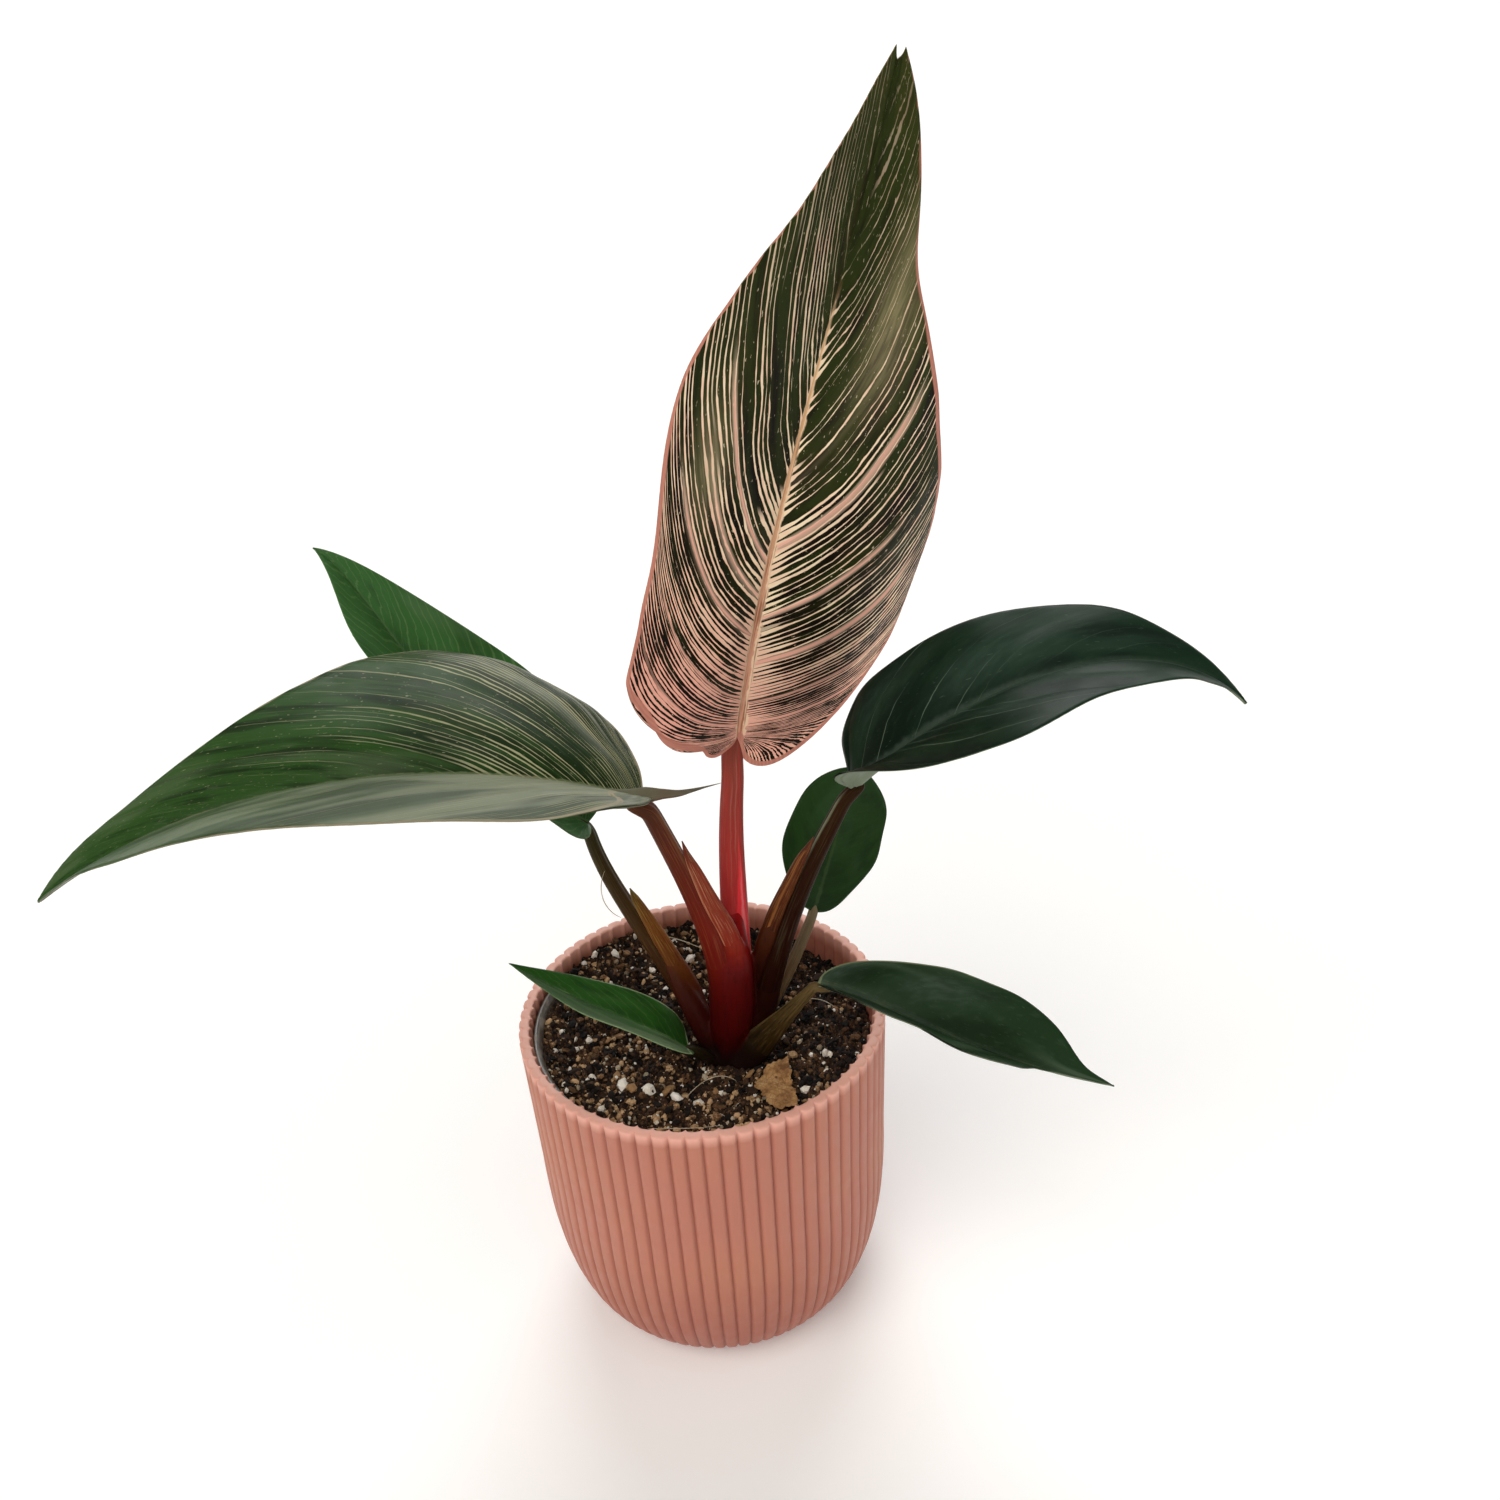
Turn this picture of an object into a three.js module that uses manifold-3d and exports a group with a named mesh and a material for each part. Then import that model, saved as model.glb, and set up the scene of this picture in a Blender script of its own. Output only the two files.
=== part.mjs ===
// Potted pink birkin philodendron in a fluted cover pot.
// Millimetres, +Z up. The origin is the centre of the flat base of the cover pot,
// and the front of the plant, where the two halves of the tall leaf show, is -Y.

import * as THREE from 'three';
import { mergeVertices } from 'three/addons/utils/BufferGeometryUtils.js';
import Module from 'manifold-3d';

// Sizes every piece is drawn from

const GAP = 0.3;
const FINEST = 0.02;

const POT = {
  height: 104,
  rimRadius: 55,
  shoulderHeight: 60,
  shoulderRadius: 53.8,
  baseRadius: 31.9,
  roundness: 2.44,
  wall: 3,
  floor: 4,
  ribs: 72,
  columnsPerRib: 3,
  grooveDepth: 1.2,
  innerGrooveDepth: 0.5,
  footRound: 3,
  rimBevel: 0.9,
};

const LINER = {
  bottom: POT.floor + GAP,
  rimHeight: 100.5,
  bottomRadius: 29.5,
  shoulderRadius: 49.4,
  lipRadius: 51,
  lipHeight: 3.5,
  lipStep: 0.6,
  lipWall: 1.6,
  wall: 1,
  segments: 60,
  drainHoles: 5,
  drainRadius: 3.5,
  drainCircle: 22,
};

const SOIL = {
  level: 92,
  mound: 6,
  topRings: [44, 38, 32, 26, 20, 14, 8],
  segments: 54,
};

const CROWN = {
  centre: new THREE.Vector2(9, -6),
  radius: 8,
  rootDepth: 30,
  top: 101,
};

const BLADE = {
  thickness: 0.8,
  lobeTurn: 0.19,
  veinPower: 5.4,
  firstVein: 0.05,
  veinsFromBase: 0.32,
  bowAlong: 0.35,
  bowAcross: 0.75,
};

// Blades: the midrib is one cubic curve from the petiole to the tip. Left and right are seen
// from the upper face with the tip up. Angles are degrees, and fold is positive for a
// half that rises towards the upper face. Sway swells and narrows each side's outline.

const BLADES = {
  upright: {
    colour: 0x6e5a48,
    midrib: [[17, 5, 192], [28, 3, 259], [52, 3, 315], [63, 1, 361]],
    faceAtBase: [0.37, -0.92, 0.12],
    faceAtTip: [0.13, -0.98, 0.13],
    basePower: 1.73,
    tipPower: 1.09,
    left: { width: 46, lobe: 0.01, fold: 38, curl: -24, sway: [0.04, 0.10] },
    right: { width: 50, lobe: 0.06, fold: 8, curl: -46, sway: [0.32, 0.04] },
    veins: 22,
    across: 4,
  },
  left: {
    colour: 0x3d5432,
    midrib: [[-10, -13, 186], [-47, -30, 214], [-109, -36, 222], [-156, -43, 192]],
    faceAtBase: [-0.26, -0.24, 0.94],
    faceAtTip: [-0.19, -0.28, 0.94],
    basePower: 1,
    tipPower: 1.07,
    left: { width: 46, lobe: 0.02, fold: 35, curl: -16, sway: [-0.17, -0.11] },
    right: { width: 52, lobe: 0.02, fold: 19, curl: -40, sway: [0.34, 0.05] },
    veins: 20,
    across: 4,
  },
  back_left: {
    colour: 0x36582f,
    midrib: [[-29, 32, 153], [-66, 41, 171], [-80, 49, 227], [-97, 53, 240]],
    faceAtBase: [0.38, -0.63, 0.68],
    faceAtTip: [0.2, -0.79, 0.58],
    basePower: 1.17,
    tipPower: 1,
    left: { width: 23, lobe: 0.03, fold: 44, curl: 0, sway: [-0.11, -0.10] },
    right: { width: 24, lobe: 0.03, fold: 12, curl: 0, sway: [0.03, 0] },
    veins: 16,
    across: 3,
  },
  right: {
    colour: 0x1f3329,
    midrib: [[46, -9, 181], [69, -21, 210], [118, -19, 234], [146, -27, 205]],
    faceAtBase: [0.08, -0.33, 0.94],
    faceAtTip: [0.42, -0.36, 0.84],
    basePower: 1,
    tipPower: 1.23,
    left: { width: 31, lobe: 0, fold: 13, curl: -27, sway: [-0.07, 0.05] },
    right: { width: 32, lobe: 0, fold: 28, curl: 0, sway: [-0.42, -0.24] },
    veins: 18,
    across: 4,
  },
  young: {
    colour: 0x24401c,
    midrib: [[36, 9, 128], [40, 12, 137], [45, 12, 158], [52, 14, 173]],
    faceAtBase: [0.1, -0.86, 0.5],
    faceAtTip: [0, -0.84, 0.54],
    basePower: 1.58,
    tipPower: 0.58,
    left: { width: 15, lobe: -0.016, fold: 2, curl: 0, sway: [-0.02, -0.03] },
    right: { width: 13.5, lobe: -0.016, fold: 0, curl: 0, sway: [-0.05, -0.05] },
    veins: 12,
    across: 3,
  },
  low_right: {
    colour: 0x26402a,
    midrib: [[33, -20, 124], [58, -27, 118], [68, -35, 106], [112, -47, 99]],
    faceAtBase: [0.11, -0.26, 0.96],
    faceAtTip: [0.08, -0.26, 0.96],
    basePower: 2.2,
    tipPower: 1.13,
    left: { width: 20, lobe: -0.015, fold: 21, curl: -10, sway: [-0.14, -0.04] },
    right: { width: 20, lobe: -0.008, fold: 50, curl: 0, sway: [0, 0.06] },
    veins: 14,
    across: 3,
  },
  low_left: {
    colour: 0x2f5226,
    midrib: [[-5, -14, 100], [-16, -21, 118], [-33, -15, 120], [-53, -10, 135]],
    faceAtBase: [0.03, -0.3, 0.95],
    faceAtTip: [0.04, -0.32, 0.95],
    basePower: 0.82,
    tipPower: 1,
    left: { width: 10.5, lobe: 0.02, fold: 37, curl: 0, sway: [-0.1, 0.07] },
    right: { width: 10.5, lobe: 0.02, fold: 4, curl: 0, sway: [-0.08, -0.02] },
    veins: 13,
    across: 3,
  },
};

// Petioles: cubic curves from the crown to the blade. Each is a grooved stalk, and its
// lower part carries a sheath, a thin raised fin with a free tip, on the side of the groove.

const PETIOLES = {
  upright: {
    colour: 0xb8433a,
    path: [[8, -5, 84], [15, -2, 120], [9, 2, 157], [17, 5, 192]],
    groove: [0, -1, 0],
    radius: [4.2, 2.9],
    crownShare: 0.42,
    sheath: 0.7,
  },
  left: {
    colour: 0x9c3a2b,
    path: [[6, -8, 84], [11, -9, 130], [1, -11, 153], [-10, -13, 186]],
    groove: [1, 0, 0.3],
    radius: [4.4, 2.9],
    crownShare: 0.5,
    sheath: 0.78,
  },
  back_left: {
    colour: 0x7a5228,
    path: [[3, -3, 84], [-1, 9, 107], [-27, 20, 135], [-29, 32, 153]],
    groove: [1, -0.3, 0.4],
    radius: [3.6, 2.4],
    crownShare: 0.34,
    sheath: 0.68,
  },
  right: {
    colour: 0x4a2618,
    path: [[13, -4, 84], [22, -6, 125], [27, -7, 144], [46, -9, 181]],
    groove: [-1, 0, 0.3],
    radius: [4.4, 2.7],
    crownShare: 0.36,
    sheath: 0.68,
  },
  young: {
    colour: 0x948064,
    path: [[12, -3, 94], [22, 1, 101], [29, 6, 112], [36, 9, 128]],
    groove: [-1, -0.5, 0.5],
    radius: [2.7, 1.8],
    crownShare: 0.42,
    sheath: 0,
  },
  low_right: {
    colour: 0x77603a,
    path: [[11, -9, 86], [14, -12, 112], [37, -16, 115], [33, -20, 124]],
    groove: [-0.3, 0, 1],
    radius: [3.2, 2.1],
    crownShare: 0.46,
    sheath: 0,
  },
  low_left: {
    colour: 0x5c4a2c,
    path: [[5, -8, 86], [2, -10, 92], [-1, -12, 96], [-5, -14, 100]],
    groove: [0, 0, 1],
    radius: [2.4, 1.7],
    crownShare: 0.55,
    sheath: 0,
  },
};

const STALK = {
  sides: 10,
  steps: 10,
  crownSteps: 5,
  grooveFlat: 0.6,
};

const SHEATH = {
  steps: 8,
  thickness: 1.3,
  rise: 2,
  root: 0.1,
};

const SCRAP = {
  centre: new THREE.Vector3(18, -27, 92.3),
  length: 21,
  width: 13,
  thickness: 0.8,
  lift: 1.6,
};

// Solids from closed meshes

const wasm = await Module();
wasm.setup();

const vector = (p) => new THREE.Vector3(p[0], p[1], p[2]);

/** Leaves position only, merges shared vertices and drops the triangles this collapses. */
function weld(geometry) {
  const bare = geometry.index ? geometry.toNonIndexed() : geometry.clone();
  bare.deleteAttribute('normal');
  bare.deleteAttribute('uv');
  const merged = mergeVertices(bare, 1e-4);
  const kept = [];
  const index = merged.index.array;
  for (let i = 0; i < index.length; i += 3) {
    const [a, b, c] = [index[i], index[i + 1], index[i + 2]];
    if (a !== b && b !== c && c !== a) kept.push(a, b, c);
  }
  merged.setIndex(kept);
  return merged;
}

function toSolid(geometry) {
  const merged = weld(geometry);
  return new wasm.Manifold(new wasm.Mesh({
    numProp: 3,
    vertProperties: Float32Array.from(merged.attributes.position.array),
    triVerts: Uint32Array.from(merged.index.array),
  }));
}

/** The geometry of a solid, with the ends of the shortest edges, which cuts leave, made one. */
function toGeometry(solid) {
  const { vertProperties, triVerts } = solid.getMesh();
  const geometry = new THREE.BufferGeometry();
  const position = new THREE.BufferAttribute(vertProperties, 3);
  const [start, end] = [new THREE.Vector3(), new THREE.Vector3()];
  const joined = Array.from({ length: position.count }, (_, i) => i);
  const root = (i) => (joined[i] === i ? i : root(joined[i]));
  for (let i = 0; i < triVerts.length; i += 1) {
    const next = i % 3 === 2 ? i - 2 : i + 1;
    start.fromBufferAttribute(position, triVerts[i]);
    end.fromBufferAttribute(position, triVerts[next]);
    if (start.distanceTo(end) < FINEST) joined[root(triVerts[next])] = root(triVerts[i]);
  }
  geometry.setAttribute('position', position);
  geometry.setIndex([...triVerts].map(root));
  return weld(geometry);
}

/** The largest separate body of a solid, so that a cut leaves no loose scrap. */
function largestBody(solid) {
  return solid.decompose().reduce((a, b) => (a.volume() > b.volume() ? a : b));
}

/** A revolved profile of [radius, height] pairs about the Z axis. */
function revolve(profile, segments) {
  const points = profile.map(([r, z]) => new THREE.Vector2(r, z));
  return new THREE.LatheGeometry(points, segments).rotateX(Math.PI / 2);
}

function uprightCylinder(x, y, radius, bottom, top, sides) {
  return new THREE.CylinderGeometry(radius, radius, top - bottom, sides)
    .rotateX(Math.PI / 2)
    .translate(x, y, (top + bottom) / 2);
}

/** A mesh from rows of rings, every ring with the same number of points, ends capped by fans. */
function loft(rings) {
  const sides = rings[0].length;
  const centre = (ring) => ring.reduce((sum, p) => sum.add(p), new THREE.Vector3())
    .divideScalar(ring.length);
  const points = [...rings.flat(), centre(rings[0]), centre(rings.at(-1))];
  const first = points.length - 2;
  const last = points.length - 1;
  const index = [];
  for (let k = 0; k < sides; k += 1) {
    const next = (k + 1) % sides;
    for (let i = 0; i + 1 < rings.length; i += 1) {
      const [a, b] = [i * sides + k, i * sides + next];
      index.push(a, b, b + sides, a, b + sides, a + sides);
    }
    const top = (rings.length - 1) * sides;
    index.push(first, next, k, last, top + k, top + next);
  }
  const geometry = new THREE.BufferGeometry().setFromPoints(points);
  geometry.setIndex(index);
  return geometry;
}

// The cover pot

/** Radius of the pot's outline at a height: straight above the shoulder, rounded below. */
function potRadius(z, inset) {
  const shoulder = POT.shoulderRadius - inset;
  if (z >= POT.shoulderHeight) {
    const rise = (z - POT.shoulderHeight) / (POT.height - POT.shoulderHeight);
    return shoulder + (POT.rimRadius - POT.shoulderRadius) * rise;
  }
  const foot = inset > 0 ? POT.floor : 0;
  const base = POT.baseRadius - inset * 0.6;
  const drop = (POT.shoulderHeight - z) / (POT.shoulderHeight - foot);
  const side = (1 - drop ** POT.roundness) ** (1 / POT.roundness);
  return base + (shoulder - base) * side;
}

/** Heights down the rounded bottom, closer together where it turns in. */
function roundedHeights(foot, steps) {
  return Array.from({ length: steps }, (_, i) => {
    const turn = (i + 1) / steps;
    return foot + (POT.shoulderHeight - foot) * (1 - Math.sin((turn * Math.PI) / 2));
  });
}

function coverPot() {
  const bevel = POT.rimBevel;
  const outer = roundedHeights(0, 6).reverse().map((z) => [potRadius(z, 0), z]);
  const inner = roundedHeights(POT.floor, 3).map((z) => [potRadius(z, POT.wall), z]);
  const profile = [
    [0, 0],
    [POT.baseRadius - POT.footRound, 0],
    ...outer,
    [potRadius(POT.shoulderHeight, 0), POT.shoulderHeight],
    [POT.rimRadius, POT.height - bevel],
    [POT.rimRadius - bevel, POT.height],
    [POT.rimRadius - POT.wall + bevel, POT.height],
    [POT.rimRadius - POT.wall, POT.height - bevel],
    [potRadius(POT.shoulderHeight, POT.wall), POT.shoulderHeight],
    ...inner,
    [0, POT.floor],
  ];
  const geometry = revolve(profile, POT.ribs * POT.columnsPerRib);
  const position = geometry.attributes.position;
  const point = new THREE.Vector3();
  const rowLength = profile.length;
  const rimRow = profile.findIndex(([, z]) => z === POT.height);
  for (let i = 0; i < position.count; i += 1) {
    point.fromBufferAttribute(position, i);
    const radius = Math.hypot(point.x, point.y);
    const row = i % rowLength;
    const column = Math.floor(i / rowLength) % POT.columnsPerRib;
    const depth = row <= rimRow ? POT.grooveDepth : POT.innerGrooveDepth;
    const onWall = row > 1 && row < rowLength - 1;
    if (column !== 0 || !onWall) continue;
    const inward = 1 - (depth * (radius / POT.rimRadius)) / radius;
    position.setXYZ(i, point.x * inward, point.y * inward, point.z);
  }
  return toSolid(geometry);
}

// The nursery pot inside it

function linerRadius(z) {
  const rise = (z - LINER.bottom) / (LINER.rimHeight - LINER.lipHeight - LINER.bottom);
  return LINER.bottomRadius + (LINER.shoulderRadius - LINER.bottomRadius) * Math.min(rise, 1);
}

function nurseryPot() {
  const lipFoot = LINER.rimHeight - LINER.lipHeight;
  const floorTop = LINER.bottom + LINER.wall;
  const innerLip = LINER.lipRadius - LINER.lipWall;
  let solid = toSolid(revolve([
    [0, LINER.bottom],
    [LINER.bottomRadius, LINER.bottom],
    [LINER.shoulderRadius, lipFoot],
    [LINER.lipRadius, lipFoot + LINER.lipStep],
    [LINER.lipRadius, LINER.rimHeight],
    [innerLip, LINER.rimHeight],
    [LINER.shoulderRadius - LINER.wall, lipFoot],
    [LINER.bottomRadius - LINER.wall, floorTop],
    [0, floorTop],
  ], LINER.segments));
  for (let i = 0; i < LINER.drainHoles; i += 1) {
    const angle = (i / LINER.drainHoles) * 2 * Math.PI;
    const x = LINER.drainCircle * Math.cos(angle);
    const y = LINER.drainCircle * Math.sin(angle);
    const drill = uprightCylinder(x, y, LINER.drainRadius, LINER.bottom - 2, floorTop + 2, 12);
    solid = solid.subtract(toSolid(drill));
  }
  return solid;
}

// The potting soil, with the plain hole that the crown stands in

/** Height of the soil: higher at the back wall, dipping round the crown, lumpy all over. */
function soilHeight(x, y) {
  const radius = Math.hypot(x, y);
  const back = Math.max(0, y / 48) * Math.max(0, (radius - 20) / 28);
  const dip = Math.exp(-(((x - CROWN.centre.x) ** 2 + (y - CROWN.centre.y) ** 2) / 260));
  const lumps = Math.sin(x * 0.31 + 1.3) * Math.cos(y * 0.27 - 0.6)
    + 0.6 * Math.sin(x * 0.83 + y * 0.61) * Math.cos(y * 0.77 - x * 0.35);
  return SOIL.level + SOIL.mound * back - 1.6 * dip + 0.9 * lumps;
}

/** The soil with its hole, raised by a clearance where it is used to trim the crown. */
function soilBody(holeRadius, clearance) {
  const bottom = LINER.bottom + LINER.wall + GAP;
  const shoulder = LINER.rimHeight - LINER.lipHeight;
  const inside = (z) => linerRadius(z) - LINER.wall - GAP;
  const low = inside(bottom) - GAP;
  const edge = inside(SOIL.level);
  const rings = SOIL.topRings.map((r) => [r, shoulder]);
  const geometry = revolve([[0, bottom], [low, bottom], [edge, SOIL.level], ...rings, [0, shoulder]],
    SOIL.segments);
  const position = geometry.attributes.position;
  for (let i = 0; i < position.count; i += 1) {
    if (position.getZ(i) < SOIL.level - 1) continue;
    let [x, y] = [position.getX(i), position.getY(i)];
    const height = soilHeight(x, y) + clearance;
    if (position.getZ(i) < shoulder - 0.01) {
      const fit = inside(height) / edge;
      [x, y] = [x * fit, y * fit];
    }
    position.setXYZ(i, x, y, height);
  }
  const { centre } = CROWN;
  const floor = SOIL.level - CROWN.rootDepth - GAP;
  const hole = uprightCylinder(centre.x, centre.y, holeRadius, floor, SOIL.level + 20, 20);
  return toSolid(geometry).subtract(toSolid(hole));
}

function pottingSoil() {
  return soilBody(CROWN.radius + GAP, 0);
}

// Petioles and the crown they share

/** Rings of a petiole from one share of its path to another, fattened by a margin. */
function stalkRings(spec, from, to, margin, steps = STALK.steps) {
  const curve = new THREE.CubicBezierCurve3(...spec.path.map(vector));
  const groove = vector(spec.groove).normalize();
  return Array.from({ length: steps + 1 }, (_, i) => {
    const share = from + ((to - from) * i) / steps;
    const centre = curve.getPointAt(share);
    const along = curve.getTangentAt(share);
    if (i === steps) centre.addScaledVector(along, margin);
    const face = groove.clone().addScaledVector(along, -groove.dot(along)).normalize();
    const side = along.clone().cross(face);
    const radius = THREE.MathUtils.lerp(spec.radius[0], spec.radius[1], share) + margin;
    return Array.from({ length: STALK.sides }, (_, k) => {
      const angle = ((k + 0.5) / STALK.sides) * 2 * Math.PI;
      const out = Math.cos(angle) * (Math.cos(angle) > 0 ? STALK.grooveFlat : 1);
      return centre.clone()
        .addScaledVector(face, radius * out)
        .addScaledVector(side, radius * Math.sin(angle));
    });
  });
}

/** The sheath's fin: thin, standing out on the groove side, and drawn to a free tip. */
function sheathRings(spec, from) {
  const curve = new THREE.CubicBezierCurve3(...spec.path.map(vector));
  const groove = vector(spec.groove).normalize();
  return Array.from({ length: SHEATH.steps + 1 }, (_, i) => {
    const share = from + ((spec.sheath - from) * i) / SHEATH.steps;
    const centre = curve.getPointAt(share);
    const along = curve.getTangentAt(share);
    const face = groove.clone().addScaledVector(along, -groove.dot(along)).normalize();
    const side = along.clone().cross(face);
    const radius = THREE.MathUtils.lerp(spec.radius[0], spec.radius[1], share);
    const inner = radius * SHEATH.root;
    const outer = radius * STALK.grooveFlat + SHEATH.rise;
    const half = SHEATH.thickness / 2;
    const corners = [[inner, -half], [outer, -half], [outer, half], [inner, half]];
    return corners.map(([out, across]) => centre.clone()
      .addScaledVector(face, out)
      .addScaledVector(side, across));
  });
}

function petioleSolid(spec, from, to, margin = 0) {
  let solid = toSolid(loft(stalkRings(spec, from, to, margin)));
  if (spec.sheath > from && margin === 0) solid = solid.add(toSolid(loft(sheathRings(spec, from))));
  return solid;
}

/** The fused bases of all petioles: it ends where each petiole stands clear of the others. */
function crown() {
  const { centre, radius } = CROWN;
  const foot = SOIL.level - CROWN.rootDepth;
  let solid = toSolid(uprightCylinder(centre.x, centre.y, radius, foot, CROWN.top, 20));
  for (const spec of Object.values(PETIOLES)) {
    solid = solid.add(toSolid(loft(stalkRings(spec, 0, spec.crownShare, 0, STALK.crownSteps))));
  }
  return largestBody(solid.subtract(soilBody(CROWN.radius, GAP)));
}

function petiole(spec) {
  const curve = new THREE.CubicBezierCurve3(...spec.path.map(vector));
  const start = spec.crownShare + GAP / curve.getLength();
  return petioleSolid(spec, start, 1);
}

// Blades

/** Distance along and across the flat blade of a point on a vein, from 0 midrib to 1 margin. */
function flatPoint(spec, half, length, vein, share) {
  const { lobeTurn, veinPower } = BLADE;
  const reach = ((vein - lobeTurn) / (1 - lobeTurn)) ** 2;
  const notch = -half.lobe + (1 + half.lobe) * (lobeTurn / (1 - lobeTurn)) ** 2;
  const early = Math.max(0, 1 - vein / lobeTurn) ** 2;
  const marginAlong = length * (-half.lobe + (1 + half.lobe) * reach - notch * early);
  const outline = (v, r) => v ** spec.basePower * (1 - r) ** spec.tipPower;
  const sway = 1 + half.sway[0] * Math.sin(2 * Math.PI * reach)
    + half.sway[1] * Math.sin(4 * Math.PI * reach);
  const marginAcross = (half.width * outline(vein, reach) * sway) / widestOutline(spec, outline);
  const start = vein < BLADE.veinsFromBase ? 0 : length * vein ** veinPower;
  const bendAlong = start + BLADE.bowAlong * (marginAlong - start);
  const bendAcross = BLADE.bowAcross * marginAcross;
  const [a, b, c] = [(1 - share) ** 2, 2 * share * (1 - share), share ** 2];
  return [a * start + b * bendAlong + c * marginAlong, b * bendAcross + c * marginAcross];
}

function widestOutline(spec, outline) {
  let widest = 0;
  for (let i = 0; i <= 200; i += 1) {
    const vein = i / 200;
    const reach = ((vein - BLADE.lobeTurn) / (1 - BLADE.lobeTurn)) ** 2;
    widest = Math.max(widest, outline(vein, reach));
  }
  return widest;
}

/** Bends flat points round the midrib curve: returns the place and the upper face's normal. */
function bladeBender(spec) {
  const curve = new THREE.CubicBezierCurve3(...spec.midrib.map(vector));
  const length = curve.getLength();
  const faces = [vector(spec.faceAtBase).normalize(), vector(spec.faceAtTip).normalize()];
  return {
    length,
    bend(half, sign, along, across) {
      const share = THREE.MathUtils.clamp(along / length, 0, 1);
      const tangent = curve.getTangentAt(share);
      const face = faces[0].clone().lerp(faces[1], share);
      face.addScaledVector(tangent, -face.dot(tangent)).normalize();
      const right = tangent.clone().cross(face);
      const fold = THREE.MathUtils.degToRad(half.fold);
      const curl = THREE.MathUtils.degToRad(half.curl || 0.01) / half.width;
      const turned = fold + curl * across;
      const out = (Math.sin(turned) - Math.sin(fold)) / curl;
      const up = (Math.cos(fold) - Math.cos(turned)) / curl;
      const place = curve.getPointAt(share)
        .addScaledVector(tangent, along - share * length)
        .addScaledVector(right, sign * out)
        .addScaledVector(face, up);
      const normal = face.clone().multiplyScalar(Math.cos(turned))
        .addScaledVector(right, -sign * Math.sin(turned));
      return { place, normal };
    },
  };
}

/** A blade as one closed body: both faces are split into triangles alike, and sewn all round. */
function bladeSolid(spec) {
  const bender = bladeBender(spec);
  const { veins, across } = spec;
  const points = [];
  const index = [];
  const half = BLADE.thickness / 2;
  const rows = {};
  for (const [name, sign] of [['left', -1], ['right', 1]]) {
    rows[name] = Array.from({ length: veins + 1 }, (_, i) => {
      const vein = BLADE.firstVein + (1 - BLADE.firstVein) * (i / veins);
      return Array.from({ length: across + 1 }, (_, j) => {
        const [along, out] = flatPoint(spec, spec[name], bender.length, vein, j / across);
        return bender.bend(spec[name], sign, along, out);
      });
    });
  }
  for (let i = 0; i <= veins; i += 1) {
    const normal = rows.left[i][0].normal.clone().add(rows.right[i][0].normal).normalize();
    for (const row of [rows.left[i], rows.right[i]]) {
      const shared = i === veins ? row : row.slice(0, 1);
      for (const at of shared) at.normal = normal;
    }
  }
  const vertex = (at, side) => {
    points.push(at.place.clone().addScaledVector(at.normal, side * half));
    return points.length - 1;
  };
  for (const [name, sign] of [['left', -1], ['right', 1]]) {
    const top = rows[name].map((row) => row.map((at) => vertex(at, 1)));
    const under = rows[name].map((row) => row.map((at) => vertex(at, -1)));
    const quad = (a, b, c, d) => {
      if (sign > 0) index.push(a, b, c, a, c, d);
      else index.push(a, c, b, a, d, c);
    };
    for (let i = 0; i < veins; i += 1) {
      for (let j = 0; j < across; j += 1) {
        quad(top[i][j], top[i][j + 1], top[i + 1][j + 1], top[i + 1][j]);
        const [a, b, c, d] = [under[i][j], under[i][j + 1], under[i + 1][j + 1], under[i + 1][j]];
        if (sign > 0) index.push(a, c, b, a, d, c);
        else index.push(a, b, c, a, c, d);
      }
      quad(top[i][across], under[i][across], under[i + 1][across], top[i + 1][across]);
    }
    for (let j = 0; j < across; j += 1) {
      quad(top[0][j + 1], top[0][j], under[0][j], under[0][j + 1]);
    }
  }
  const geometry = new THREE.BufferGeometry().setFromPoints(points);
  geometry.setIndex(index);
  return toSolid(geometry);
}

/** The blade with a seat cut round its petiole. */
function blade(name) {
  const stalk = PETIOLES[name];
  const seat = petioleSolid(stalk, stalk.crownShare, 1, GAP);
  return largestBody(bladeSolid(BLADES[name]).subtract(seat));
}

// A dry scrap of leaf that lies on the soil

function dryScrap() {
  const { centre, length, width, thickness, lift } = SCRAP;
  const shape = new THREE.Shape();
  shape.moveTo(-length * 0.5, width * 0.1);
  shape.quadraticCurveTo(-length * 0.2, width * 0.62, length * 0.2, width * 0.45);
  shape.lineTo(length * 0.34, width * 0.5);
  shape.lineTo(length * 0.5, -width * 0.05);
  shape.lineTo(length * 0.3, -width * 0.48);
  shape.quadraticCurveTo(-length * 0.25, -width * 0.5, -length * 0.5, width * 0.1);
  const geometry = new THREE.ExtrudeGeometry(shape, {
    depth: thickness,
    bevelEnabled: false,
    curveSegments: 4,
  });
  geometry.rotateZ(THREE.MathUtils.degToRad(-70));
  const position = geometry.attributes.position;
  for (let i = 0; i < position.count; i += 1) {
    const [x, y] = [position.getX(i), position.getY(i)];
    const arch = lift * (1 - (x / width) ** 2 * 2);
    position.setXYZ(i, x + centre.x, y + centre.y, position.getZ(i) + centre.z + arch);
  }
  return toSolid(geometry);
}

// The object

const potted = new THREE.Group();
potted.name = 'potted_pink_birkin';

function addPiece(name, solid, colour, roughness) {
  const material = new THREE.MeshStandardMaterial({ color: colour, roughness, metalness: 0 });
  const mesh = new THREE.Mesh(toGeometry(solid), material);
  mesh.name = name;
  potted.add(mesh);
}

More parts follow.
